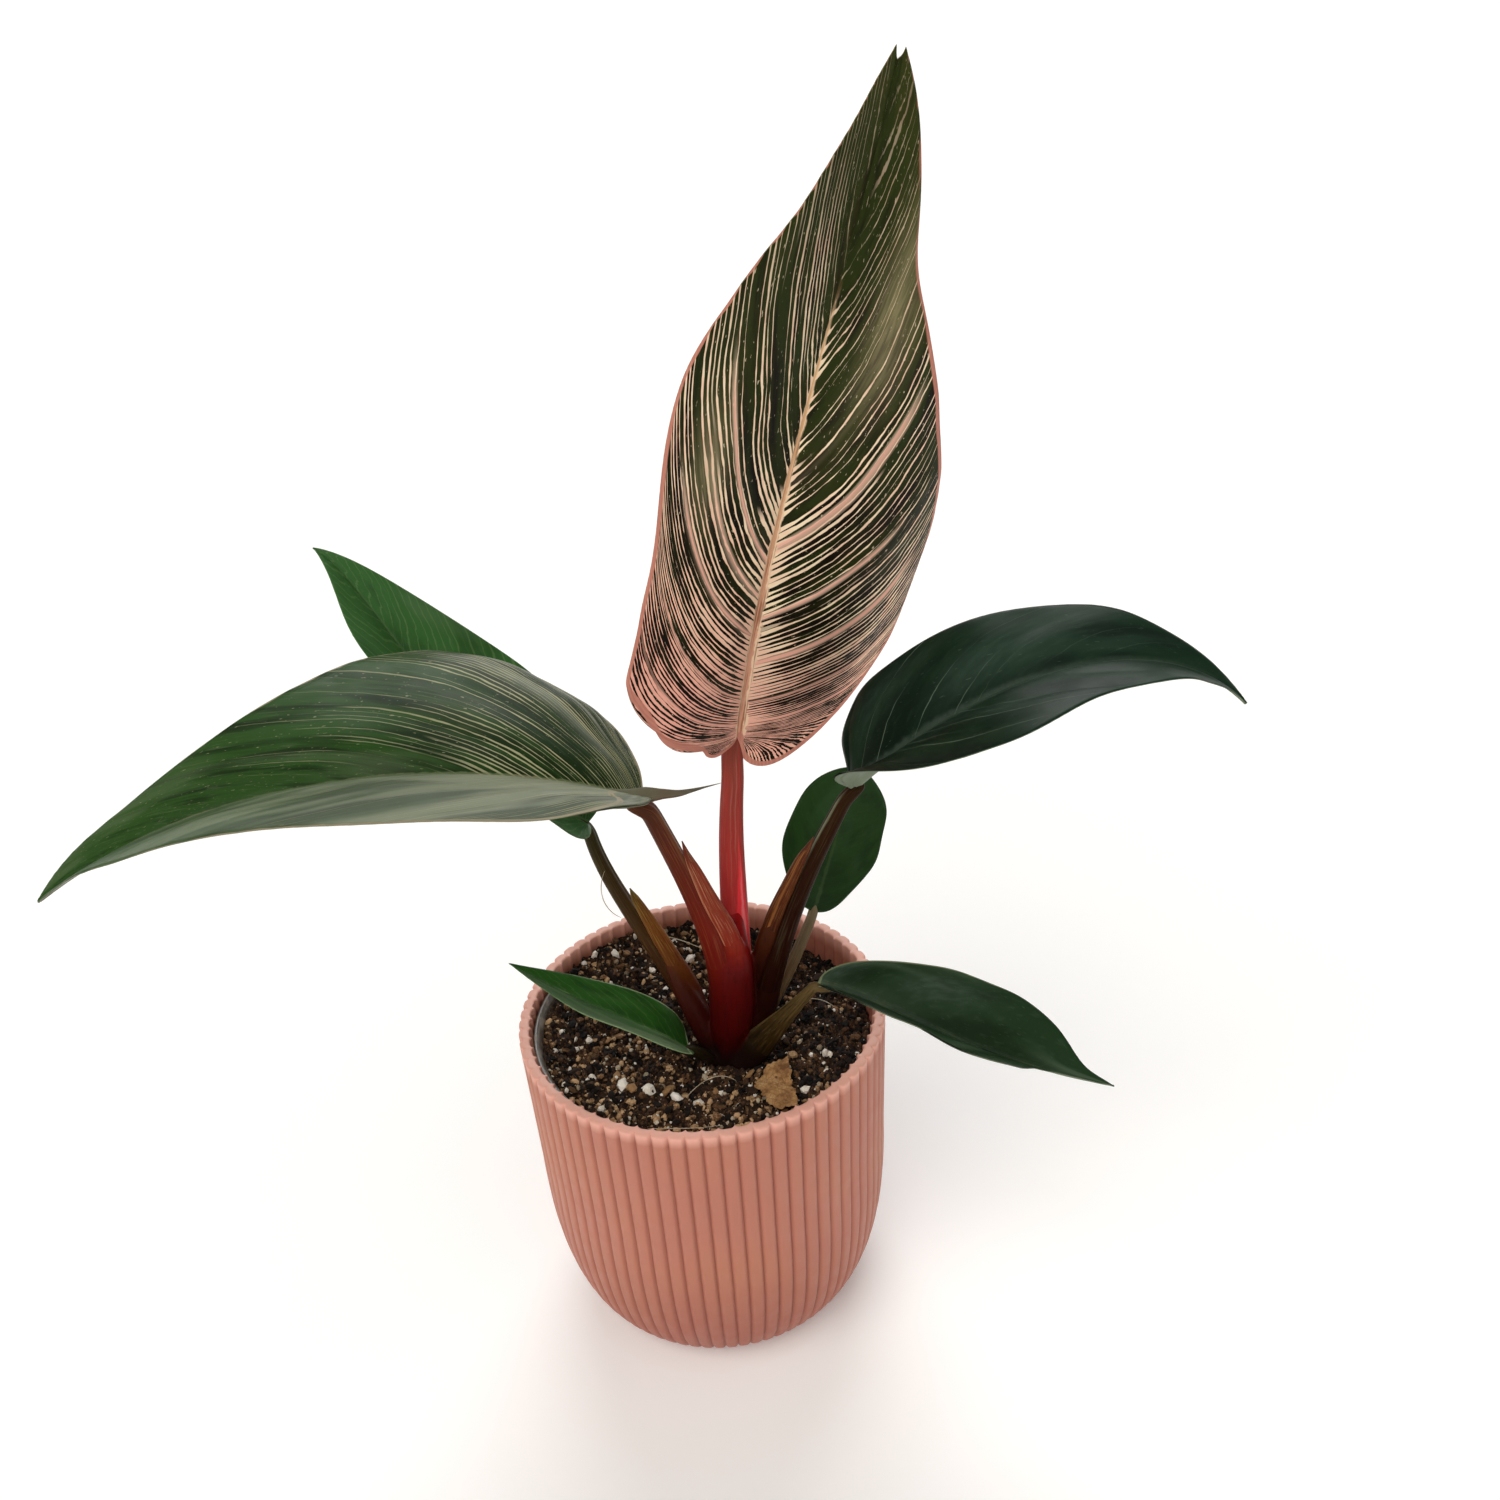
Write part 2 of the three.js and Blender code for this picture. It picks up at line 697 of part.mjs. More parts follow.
addPiece('cover_pot', coverPot(), 0xc98a7c, 0.6);
addPiece('nursery_pot', nurseryPot(), 0x8d8f8c, 0.45);
addPiece('potting_soil', pottingSoil(), 0x3a281e, 0.95);
addPiece('crown', crown(), 0x4c100c, 0.4);
for (const name of Object.keys(PETIOLES)) {
  addPiece(`petiole_${name}`, petiole(PETIOLES[name]), PETIOLES[name].colour, 0.4);
}
for (const name of Object.keys(BLADES)) {
  addPiece(`blade_${name}`, blade(name), BLADES[name].colour, 0.35);
}
addPiece('dry_leaf_scrap', dryScrap(), 0xa9835a, 0.85);

export default potted;
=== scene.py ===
"""Potted pink birkin philodendron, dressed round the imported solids.

Lengths are millimetres in every class and become metres where a mesh is made. The origin is
the centre of the pot's base, +Z is up, and the front, where the tall leaf shows its upper
face, is -Y. A blade, a petiole and the pot are each one surface of two parameters.
"""

from __future__ import annotations

import logging
import math
from dataclasses import dataclass, replace
from enum import Enum
from functools import cached_property

import bmesh
import bpy
import numpy as np
from mathutils import Matrix, Vector

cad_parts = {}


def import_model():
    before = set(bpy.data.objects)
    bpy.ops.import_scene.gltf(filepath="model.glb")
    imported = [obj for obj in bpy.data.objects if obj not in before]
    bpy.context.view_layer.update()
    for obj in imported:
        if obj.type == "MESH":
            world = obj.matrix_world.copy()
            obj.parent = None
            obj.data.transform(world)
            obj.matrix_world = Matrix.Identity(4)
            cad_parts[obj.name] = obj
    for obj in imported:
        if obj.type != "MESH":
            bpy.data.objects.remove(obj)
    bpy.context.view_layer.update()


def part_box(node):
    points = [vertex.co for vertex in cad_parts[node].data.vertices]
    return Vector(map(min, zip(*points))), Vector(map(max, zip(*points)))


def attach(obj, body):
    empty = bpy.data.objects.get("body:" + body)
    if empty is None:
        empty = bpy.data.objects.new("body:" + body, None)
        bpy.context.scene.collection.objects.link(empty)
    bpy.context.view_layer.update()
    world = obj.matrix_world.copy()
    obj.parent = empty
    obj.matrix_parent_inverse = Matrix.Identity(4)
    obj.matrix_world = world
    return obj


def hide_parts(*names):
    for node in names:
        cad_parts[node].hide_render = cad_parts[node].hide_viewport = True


LOG = logging.getLogger("potted_philodendron")
MM = 0.001
Array = np.ndarray
Triple = tuple[float, float, float]
Triples = tuple[Triple, ...]
Pairs = tuple[tuple[float, float], ...]


# Numbers and arrays


def linear(hex_colour: str) -> tuple[float, float, float, float]:
    """Turns an sRGB hex colour, such as "c98a7c", into linear red, green, blue and alpha."""
    levels = [int(hex_colour[i : i + 2], 16) / 255 for i in (0, 2, 4)]
    bent = [c / 12.92 if c <= 0.04045 else ((c + 0.055) / 1.055) ** 2.4 for c in levels]
    return (bent[0], bent[1], bent[2], 1.0)


def unit(vectors: Array) -> Array:
    """Vectors divided by their lengths, along the last axis."""
    lengths = np.linalg.norm(vectors, axis=-1, keepdims=True)
    return vectors / np.maximum(lengths, 1e-12)


def smoothstep(low: float, high: float, x: Array) -> Array:
    """0 below low, 1 above high and 3q^2 - 2q^3 between them. High may be the lower one."""
    q = np.clip((np.asarray(x, float) - low) / (high - low), 0, 1)
    return q * q * (3 - 2 * q)


def ripples(x: Array, y: Array, wavelength: float, seed: int, waves: int = 9) -> Array:
    """Soft random relief of about -1 to 1: a sum of sines in seeded directions and phases."""
    draw = np.random.default_rng(seed)
    heading = draw.uniform(0, 2 * math.pi, waves)
    phase = draw.uniform(0, 2 * math.pi, waves)
    pitch = wavelength * draw.uniform(0.7, 1.6, waves)
    total = np.zeros(np.broadcast(x, y).shape)
    for turn, start, length in zip(heading, phase, pitch):
        total += np.sin(2 * math.pi * (x * math.cos(turn) + y * math.sin(turn)) / length + start)
    return total / math.sqrt(waves)


def cubic(controls: Array, steps: int) -> tuple[Array, Array]:
    """Points of a cubic Bezier curve and the length walked at each.

    Args:
        controls: four points.
        steps: number of stretches.

    Returns:
        The points, (steps + 1, 3), and the distance from the start at each.
    """
    q = np.linspace(0, 1, steps + 1)[:, None]
    a, b, c, d = np.asarray(controls, float)
    points = (1 - q) ** 3 * a + 3 * q * (1 - q) ** 2 * b + 3 * q**2 * (1 - q) * c + q**3 * d
    walked = np.concatenate([[0], np.cumsum(np.linalg.norm(np.diff(points, axis=0), axis=1))])
    return points, walked


def spline(points: Array, steps: int) -> Array:
    """A smooth line through points: Catmull-Rom stretches with mirrored ends.

    Between b and c, with neighbours a and d, it is
    b + (c - a)q/2 + (2a - 5b + 4c - d)q^2/2 + (3b - a - 3c + d)q^3/2.
    """
    known = np.asarray(points, float)
    padded = np.concatenate([2 * known[:1] - known[1:2], known, 2 * known[-1:] - known[-2:-1]])
    place = np.linspace(0, len(known) - 1, steps + 1)
    stretch = np.minimum(place.astype(int), len(known) - 2)
    q = (place - stretch)[:, None]
    a, b, c, d = (padded[stretch + k] for k in range(4))
    curved = b + (c - a) * q / 2 + (2 * a - 5 * b + 4 * c - d) * q**2 / 2
    return curved + (3 * b - a - 3 * c + d) * q**3 / 2


def along(walked: Array, values: Array, distance: Array) -> Array:
    """Values of a polyline, such as its points, at distances from its start."""
    return np.stack([np.interp(distance, walked, values[:, k]) for k in range(3)], -1)


def grid_quads(rows: int, columns: int, wrap: bool = False) -> Array:
    """Corner numbers of the quads of a grid of points, row by row.

    Args:
        rows: number of rows.
        columns: points in a row.
        wrap: joins the last column to the first.

    Returns:
        An array with four corner numbers a quad. Walking a column and then a row turns
        anticlockwise round the face's outward normal.
    """
    last = columns if wrap else columns - 1
    i, j = np.meshgrid(np.arange(rows - 1), np.arange(last), indexing="ij")
    here = (i * columns + j).ravel()
    beside = (i * columns + (j + 1) % columns).ravel()
    return np.stack([here, beside, beside + columns, here + columns], -1)


# Meshes


def make_piece(
    name: str, points: Array, faces: Array | list, smooth: bool = True
) -> bpy.types.Object:
    """Makes an object at the origin from points in millimetres and faces of corner numbers."""
    mesh = bpy.data.meshes.new(name)
    mesh.from_pydata((np.asarray(points) * MM).tolist(), [], [list(f) for f in faces])
    mesh.validate()
    mesh.polygons.foreach_set("use_smooth", [smooth] * len(mesh.polygons))
    mesh.update()
    piece = bpy.data.objects.new(name, mesh)
    bpy.context.scene.collection.objects.link(piece)
    return piece


def point_value(piece: bpy.types.Object, name: str, values: Array) -> None:
    """Stores a number, or a vector of three, at every vertex of a piece."""
    kind, key = ("FLOAT", "value") if values.ndim == 1 else ("FLOAT_VECTOR", "vector")
    attribute = piece.data.attributes.new(name, kind, "POINT")
    attribute.data.foreach_set(key, values.astype(np.float32).ravel())


def corner_uv(piece: bpy.types.Object, name: str, at_corner: Array) -> None:
    """Stores a UV map, given as one pair a face corner, in the order of the faces."""
    layer = piece.data.uv_layers.new(name=name)
    layer.data.foreach_set("uv", at_corner.astype(np.float32).ravel())


def join(parts: list[tuple[Array, list]]) -> tuple[Array, list]:
    """Points and faces of several meshes as one."""
    faces, offset = [], 0
    for points, own in parts:
        faces += [[corner + offset for corner in face] for face in own]
        offset += len(points)
    return np.concatenate([points for points, _ in parts]), faces


def merge(piece: bpy.types.Object) -> None:
    """Merges the points that lie on each other, closes a pole and turns the faces out."""
    work = bmesh.new()
    work.from_mesh(piece.data)
    bmesh.ops.remove_doubles(work, verts=work.verts, dist=1e-6)
    bmesh.ops.recalc_face_normals(work, faces=work.faces)
    work.to_mesh(piece.data)
    work.free()


def bake_modifiers(piece: bpy.types.Object) -> None:
    """Replaces a piece's mesh by what its modifiers make of it."""
    graph = bpy.context.evaluated_depsgraph_get()
    made = bpy.data.meshes.new_from_object(piece.evaluated_get(graph))
    piece.modifiers.clear()
    piece.data = made


def settle(piece: bpy.types.Object, material: bpy.types.Material, slot: str, *nodes: str) -> None:
    """Gives a piece its material, fixes it to the body and lets it stand for nodes."""
    piece.data.materials.clear()
    piece.data.materials.append(material)
    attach(piece, "root")
    if nodes:
        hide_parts(*nodes)
    LOG.info("%s: %d faces", piece.name, len(piece.data.polygons))


# Shader nodes


class Step(Enum):
    """A kind of shader node: its class, its inputs in the order given, its output and settings."""

    ADD = ("Math", (0, 1), 0, {"operation": "ADD"})
    SUBTRACT = ("Math", (0, 1), 0, {"operation": "SUBTRACT"})
    MULTIPLY = ("Math", (0, 1), 0, {"operation": "MULTIPLY"})
    POWER = ("Math", (0, 1), 0, {"operation": "POWER"})
    ABSOLUTE = ("Math", (0,), 0, {"operation": "ABSOLUTE"})
    FLOOR = ("Math", (0,), 0, {"operation": "FLOOR"})
    MAXIMUM = ("Math", (0, 1), 0, {"operation": "MAXIMUM"})
    MINIMUM = ("Math", (0, 1), 0, {"operation": "MINIMUM"})
    RAMP = (
        "MapRange", ("Value", "From Min", "From Max", "To Min", "To Max"), 0,
        {"interpolation_type": "SMOOTHSTEP"},
    )
    STRETCH = ("VectorMath", (0, 1), 0, {"operation": "MULTIPLY"})
    MIX = ("Mix", (0, 6, 7), 2, {"data_type": "RGBA"})
    NOISE = ("TexNoise", ("Vector", "Scale", "Detail", "Roughness"), "Fac", {})
    DRAW = ("TexWhiteNoise", ("W",), "Color", {"noise_dimensions": "1D"})
    CELLS = ("TexVoronoi", ("Vector", "Scale"), 0, {"feature": "DISTANCE_TO_EDGE"})
    BUMP = ("Bump", ("Height", "Distance", "Strength"), 0, {})
    PLACE = ("TexCoord", (), "Object", {})
    UV = ("UVMap", (), 0, {})


@dataclass(frozen=True)
class Signal:
    """What a shader node gives out at each point of a surface. Arithmetic on it adds nodes."""

    bench: Bench
    socket: bpy.types.NodeSocket

    def __add__(self, other: Signal | float) -> Signal:
        """Their sum."""
        return self.bench.add(Step.ADD, self, other)

    def __sub__(self, other: Signal | float) -> Signal:
        """Their difference."""
        return self.bench.add(Step.SUBTRACT, self, other)

    def __rsub__(self, other: float) -> Signal:
        """A number less this."""
        return self.bench.add(Step.SUBTRACT, other, self)

    def __mul__(self, other: Signal | float) -> Signal:
        """Their product."""
        return self.bench.add(Step.MULTIPLY, self, other)

    def __pow__(self, power: float) -> Signal:
        """This to a power."""
        return self.bench.add(Step.POWER, self, power)

    def __abs__(self) -> Signal:
        """Its absolute value."""
        return self.bench.add(Step.ABSOLUTE, self)

    def parts(self) -> list[Signal]:
        """The three numbers of a vector or a colour."""
        made = self.bench.node("SeparateXYZ", {0: self})
        return [Signal(self.bench, socket) for socket in made.outputs]

    def drawn_out(self, across: float, along: float, detail: float = 2, rough: float = 0.5) -> Signal:
        """Noise over a UV map, of about 0 to 1, that is drawn out lengthwise.

        Args:
            across: spots for each unit of U, which counts stripes or goes round a stalk.
            along: spots for each unit of V.
            detail: octaves of finer noise.
            rough: share of the finer octaves.

        Returns:
            The noise.
        """
        stretched = self.bench.add(Step.STRETCH, self, (across, along, 1))
        return self.bench.add(Step.NOISE, stretched, 1.0, detail, rough)


class Bench:
    """A material being built."""

    def __init__(self, name: str) -> None:
        """Starts an empty material."""
        self.material = bpy.data.materials.new(name)
        self.material.use_nodes = True
        self.tree = self.material.node_tree
        self.tree.nodes.clear()

    @cached_property
    def place(self) -> Signal:
        """The place in the object, in metres."""
        return self.add(Step.PLACE)

    def node(self, kind: str, inputs: dict[int | str, object], **settings: object) -> bpy.types.Node:
        """Adds one shader node.

        Args:
            kind: the node's class without its ShaderNode prefix, such as "Math".
            inputs: for each input's name or number, a signal, a hex colour or a value.
            settings: the node's own properties.

        Returns:
            The node.
        """
        made = self.tree.nodes.new("ShaderNode" + kind)
        for key, value in settings.items():
            setattr(made, key, value)
        for key, value in inputs.items():
            if isinstance(value, Signal):
                self.tree.links.new(value.socket, made.inputs[key])
            else:
                made.inputs[key].default_value = linear(value) if isinstance(value, str) else value
        return made

    def add(self, step: Step, *given: object, **settings: object) -> Signal:
        """Adds a node of a known kind. Inputs that aren't given keep their defaults."""
        kind, keys, output, known = step.value
        made = self.node(kind, dict(zip(keys, given)), **known, **settings)
        return Signal(self, made.outputs[output])

    def stored(self, name: str, output: str = "Fac") -> Signal:
        """A value stored at the vertices: a number or, by its output, a Vector or a Color."""
        return Signal(self, self.node("Attribute", {}, attribute_name=name).outputs[output])

    def spots(self, size_mm: float, detail: float = 2, rough: float = 0.5) -> Signal:
        """Noise of about 0 to 1 whose spots are about size_mm wide."""
        return self.add(Step.NOISE, self.place, 1 / (size_mm * MM), detail, rough)

    def stops(self, x: Signal, *stops: tuple[float, str]) -> Signal:
        """A colour ramp through hex colours at places from 0 to 1."""
        made = self.node("ValToRGB", {0: x})
        elements = made.color_ramp.elements
        while len(elements) < len(stops):
            elements.new(0.5)
        for element, (place, colour) in zip(elements, stops):
            element.position = place
            element.color = linear(colour)
        return Signal(self, made.outputs[0])

    def finish(
        self, height: Signal | None = None, relief_mm: float = 0.0, bump: float = 1.0, **inputs: object
    ) -> bpy.types.Material:
        """Ends the material with a Principled shader.

        Args:
            height: what bends the surface's normal.
            relief_mm: what the height's full range stands for.
            bump: the strength of the bend.
            inputs: the shader's inputs. An underscore stands for a space in a name.

        Returns:
            The material.
        """
        named = {key.replace("_", " "): value for key, value in inputs.items()}
        if height is not None:
            named["Normal"] = self.add(Step.BUMP, height, relief_mm * MM, bump)
        shader = self.node("BsdfPrincipled", named)
        self.node("OutputMaterial", {0: Signal(self, shader.outputs[0])})
        return self.material


# Finishes


@dataclass(frozen=True)
class PotPlastic:
    """Injection-moulded polypropylene: matte, with a fine even grain left by the blasted mould.

    The grain is 0.15 mm in life and drawn 0.35 mm wide, so that it shows. The grooves are
    painted a deeper colour as shade, and so is the lower part between the two heights, as
    painted shade. The pale band along the rim is a painted highlight.
    """

    colour: str = "b5715d"
    warm: str = "ba785b"
    # The colour of the painted shade in the grooves and low down.
    deep: str = "985140"
    # The colour of the painted highlight along the rim.
    rim: str = "e2a694"
    grain_mm: float = 0.35
    cloud_mm: float = 30
    groove_shade_share: float = 0.75
    low_shade_share: float = 0.65
    heights_mm: tuple[float, float] = (62, 8)

    def build(self) -> bpy.types.Material:
        """Makes the material."""
        bench = Bench("moulded_pink_polypropylene")
        cloud = bench.add(Step.RAMP, bench.spots(self.cloud_mm), 0.35, 0.7, 0.0, 0.6)
        colour = bench.add(Step.MIX, cloud, self.colour, self.warm)
        # Painted shade in the grooves.
        colour = bench.add(Step.MIX, bench.stored("groove") * self.groove_shade_share, colour, self.deep)
        top, low = self.heights_mm
        # Painted shade: the pot darkens towards the bottom.
        lower = bench.add(Step.RAMP, bench.place.parts()[2], top * MM, low * MM, 0.0, self.low_shade_share)
        colour = bench.add(Step.MIX, lower, colour, self.deep)
        # Painted highlight: a pale band along the rim.
        colour = bench.add(Step.MIX, bench.stored("rim"), colour, self.rim)
        rough = bench.add(Step.RAMP, bench.spots(5), 0.3, 0.7, 0.46, 0.58)
        grain = bench.spots(self.grain_mm, 2, 0.6)
        return bench.finish(grain, 0.03, 0.5, Base_Color=colour, Roughness=rough, IOR=1.49)


@dataclass(frozen=True)
class LinerPlastic:
    """Thermoformed grey polystyrene: thin, slightly shiny, with dust along its lip."""

    colour: str = "5c544c"
    dusty: str = "80776d"

    def build(self) -> bpy.types.Material:
        """Makes the material."""
        bench = Bench("thermoformed_grey_polystyrene")
        dust = bench.add(Step.RAMP, bench.spots(3, 4), 0.45, 0.65)
        colour = bench.add(Step.MIX, dust, self.colour, self.dusty)
        return bench.finish(Base_Color=colour, Roughness=dust * 0.3 + 0.3, IOR=1.55)


@dataclass(frozen=True)
class PeatMix:
    """Moist peat and fine bark with tan fibre ends: nearly black in the bump's hollows, its own dark and
    painted shade.
    """

    dark: str = "070403"
    brown: str = "36200f"
    tan: str = "866343"
    crumb_mm: float = 0.8
    patch_mm: float = 7

    def build(self) -> bpy.types.Material:
        """Makes the material."""
        bench = Bench("moist_peat_and_bark")
        crumb = bench.spots(self.crumb_mm, 4, 0.65)
        # Painted shade: the colour is darkest where the crumb noise, which is also the bump, is lowest.
        tone = crumb * 0.7 + bench.spots(self.patch_mm) * 0.35
        colour = bench.stops(tone, (0.36, self.dark), (0.55, self.brown), (0.74, self.tan))
        return bench.finish(crumb, 0.6, 0.9, Base_Color=colour, Roughness=0.9, IOR=1.4)


@dataclass(frozen=True)
class Crumb:
    """Loose bits of one kind. Each bit has its own tone, kept at its vertices."""

    name: str
    shades: tuple[tuple[float, str], ...]
    grain_mm: float
    rough: float

    def build(self) -> bpy.types.Material:
        """Makes the material."""
        bench = Bench(self.name)
        grain = bench.spots(self.grain_mm, 3, 0.6)
        colour = bench.stops(bench.stored("tone") + (grain - 0.5) * 0.5, *self.shades)
        return bench.finish(grain, 0.2, 0.8, Base_Color=colour, Roughness=self.rough, IOR=1.4)


@dataclass(frozen=True)
class Stripe:
    """A lengthwise stripe on a petiole.

    Its angle and half width are shares of half a turn, counted from the groove, and its
    span is in shares of the length. A wedge narrows to a point at the span's upper end.
    """

    angle: float
    width: float
    colour: str
    span: tuple[float, float]
    wedge: bool = False
    strength: float = 1.0
    blur: float = 0.03

    def cover(self, bench: Bench, angle: Signal, share: Signal) -> Signal:
        """How much of the skin's colour the stripe covers, at an angle and a share of the length."""
        low, high = self.span
        width = bench.add(Step.RAMP, share, high, low, 0.0, self.width) if self.wedge else self.width
        beside = abs(angle - self.angle)
        inside = bench.add(Step.RAMP, width - beside, -self.blur, self.blur)
        starts = bench.add(Step.RAMP, share, low - 0.06, low + 0.04)
        ends = bench.add(Step.RAMP, share, high, high - 0.05)
        return inside * (starts * ends) * self.strength


@dataclass(frozen=True)
class PetioleSkin:
    """Living petiole: a smooth waxy skin over pigmented cells, with fine lengthwise streaks.

    Its UV map holds the angle from the groove, from -1 to 1, and the share of the length.
    """

    name: str
    low: str
    middle: str
    high: str
    fibre: str
    middle_at: float = 0.55
    stripes: tuple[Stripe, ...] = ()
    fibre_share: float = 0.2
    dark_share: float = 0.3
    gloss: float = 0.36
    specular: float = 0.1
    fineness: float = 26

    def places(self) -> Triple:
        """Where along the length the low, middle and high colours sit."""
        return 0.12, self.middle_at, 0.97

    def tones(self, share: Array) -> Array:
        """The body colour at shares of the length, as linear values."""
        known = np.array([linear(colour) for colour in (self.low, self.middle, self.high)])
        return np.stack([np.interp(share, self.places(), known[:, k]) for k in range(4)], -1)

    def build(self) -> bpy.types.Material:
        """Makes the material."""
        bench = Bench(self.name)
        skin = bench.add(Step.UV, uv_map="Skin")
        angle, share, _ = skin.parts()
        wobble = bench.spots(6, 3) - 0.5
        body = zip(self.places(), (self.low, self.middle, self.high))
        colour = bench.stops(share + wobble * 0.12, *body)
        for stripe in self.stripes:
            cover = stripe.cover(bench, angle + wobble * 0.1, share)
            colour = bench.add(Step.MIX, cover, colour, stripe.colour)
        streak = skin.drawn_out(self.fineness, 5, 4, 0.65)
        darker = bench.add(Step.RAMP, streak, 0.51, 0.63, 0.0, self.dark_share)
        colour = bench.add(Step.MIX, darker, colour, self.low)
        lighter = bench.add(Step.RAMP, streak, 0.48, 0.37, 0.0, self.fibre_share)
        lighter = lighter * bench.add(Step.RAMP, share, 0.15, 0.55)
        colour = bench.add(Step.MIX, lighter, colour, self.fibre)
        rough = bench.add(Step.RAMP, streak, 0.3, 0.7, self.gloss, self.gloss + 0.14)
        return bench.finish(
            streak, 0.16, 0.7, Base_Color=colour, Roughness=rough, IOR=1.42,
            Specular_IOR_Level=self.specular,
        )


@dataclass(frozen=True)
class CrownSkin:
    """The fused petiole bases: the same waxy skin, darker and matte where it leaves the soil.

    The colour attribute "tint" holds the colour of the nearest petiole.
    """

    # The colour the skin darkens to low down.
    soil: str = "1a0b08"
    heights_mm: tuple[float, float] = (93, 102)
    ragged_mm: float = 8

    def build(self) -> bpy.types.Material:
        """Makes the material."""
        bench = Bench("fused_petiole_skin")
        low, high = self.heights_mm
        height = bench.place.parts()[2] + (bench.spots(4, 3) - 0.5) * (self.ragged_mm * MM)
        rise = bench.add(Step.RAMP, height, low * MM, high * MM)
        colour = bench.add(Step.MIX, rise, self.soil, bench.stored("tint", "Color"))
        lengthwise = bench.add(Step.STRETCH, bench.place, (1, 1, 0.1))
        streak = bench.add(Step.NOISE, lengthwise, 1 / (0.9 * MM), 3, 0.6)
        colour = bench.add(Step.MIX, bench.add(Step.RAMP, streak, 0.5, 0.75, 0.0, 0.35), colour, self.soil)
        rough = bench.add(Step.RAMP, rise, 0.0, 0.5, 0.65, 0.38)
        return bench.finish(
            streak, 0.12, 0.5, Base_Color=colour, Roughness=rough, IOR=1.42, Specular_IOR_Level=0.08
        )


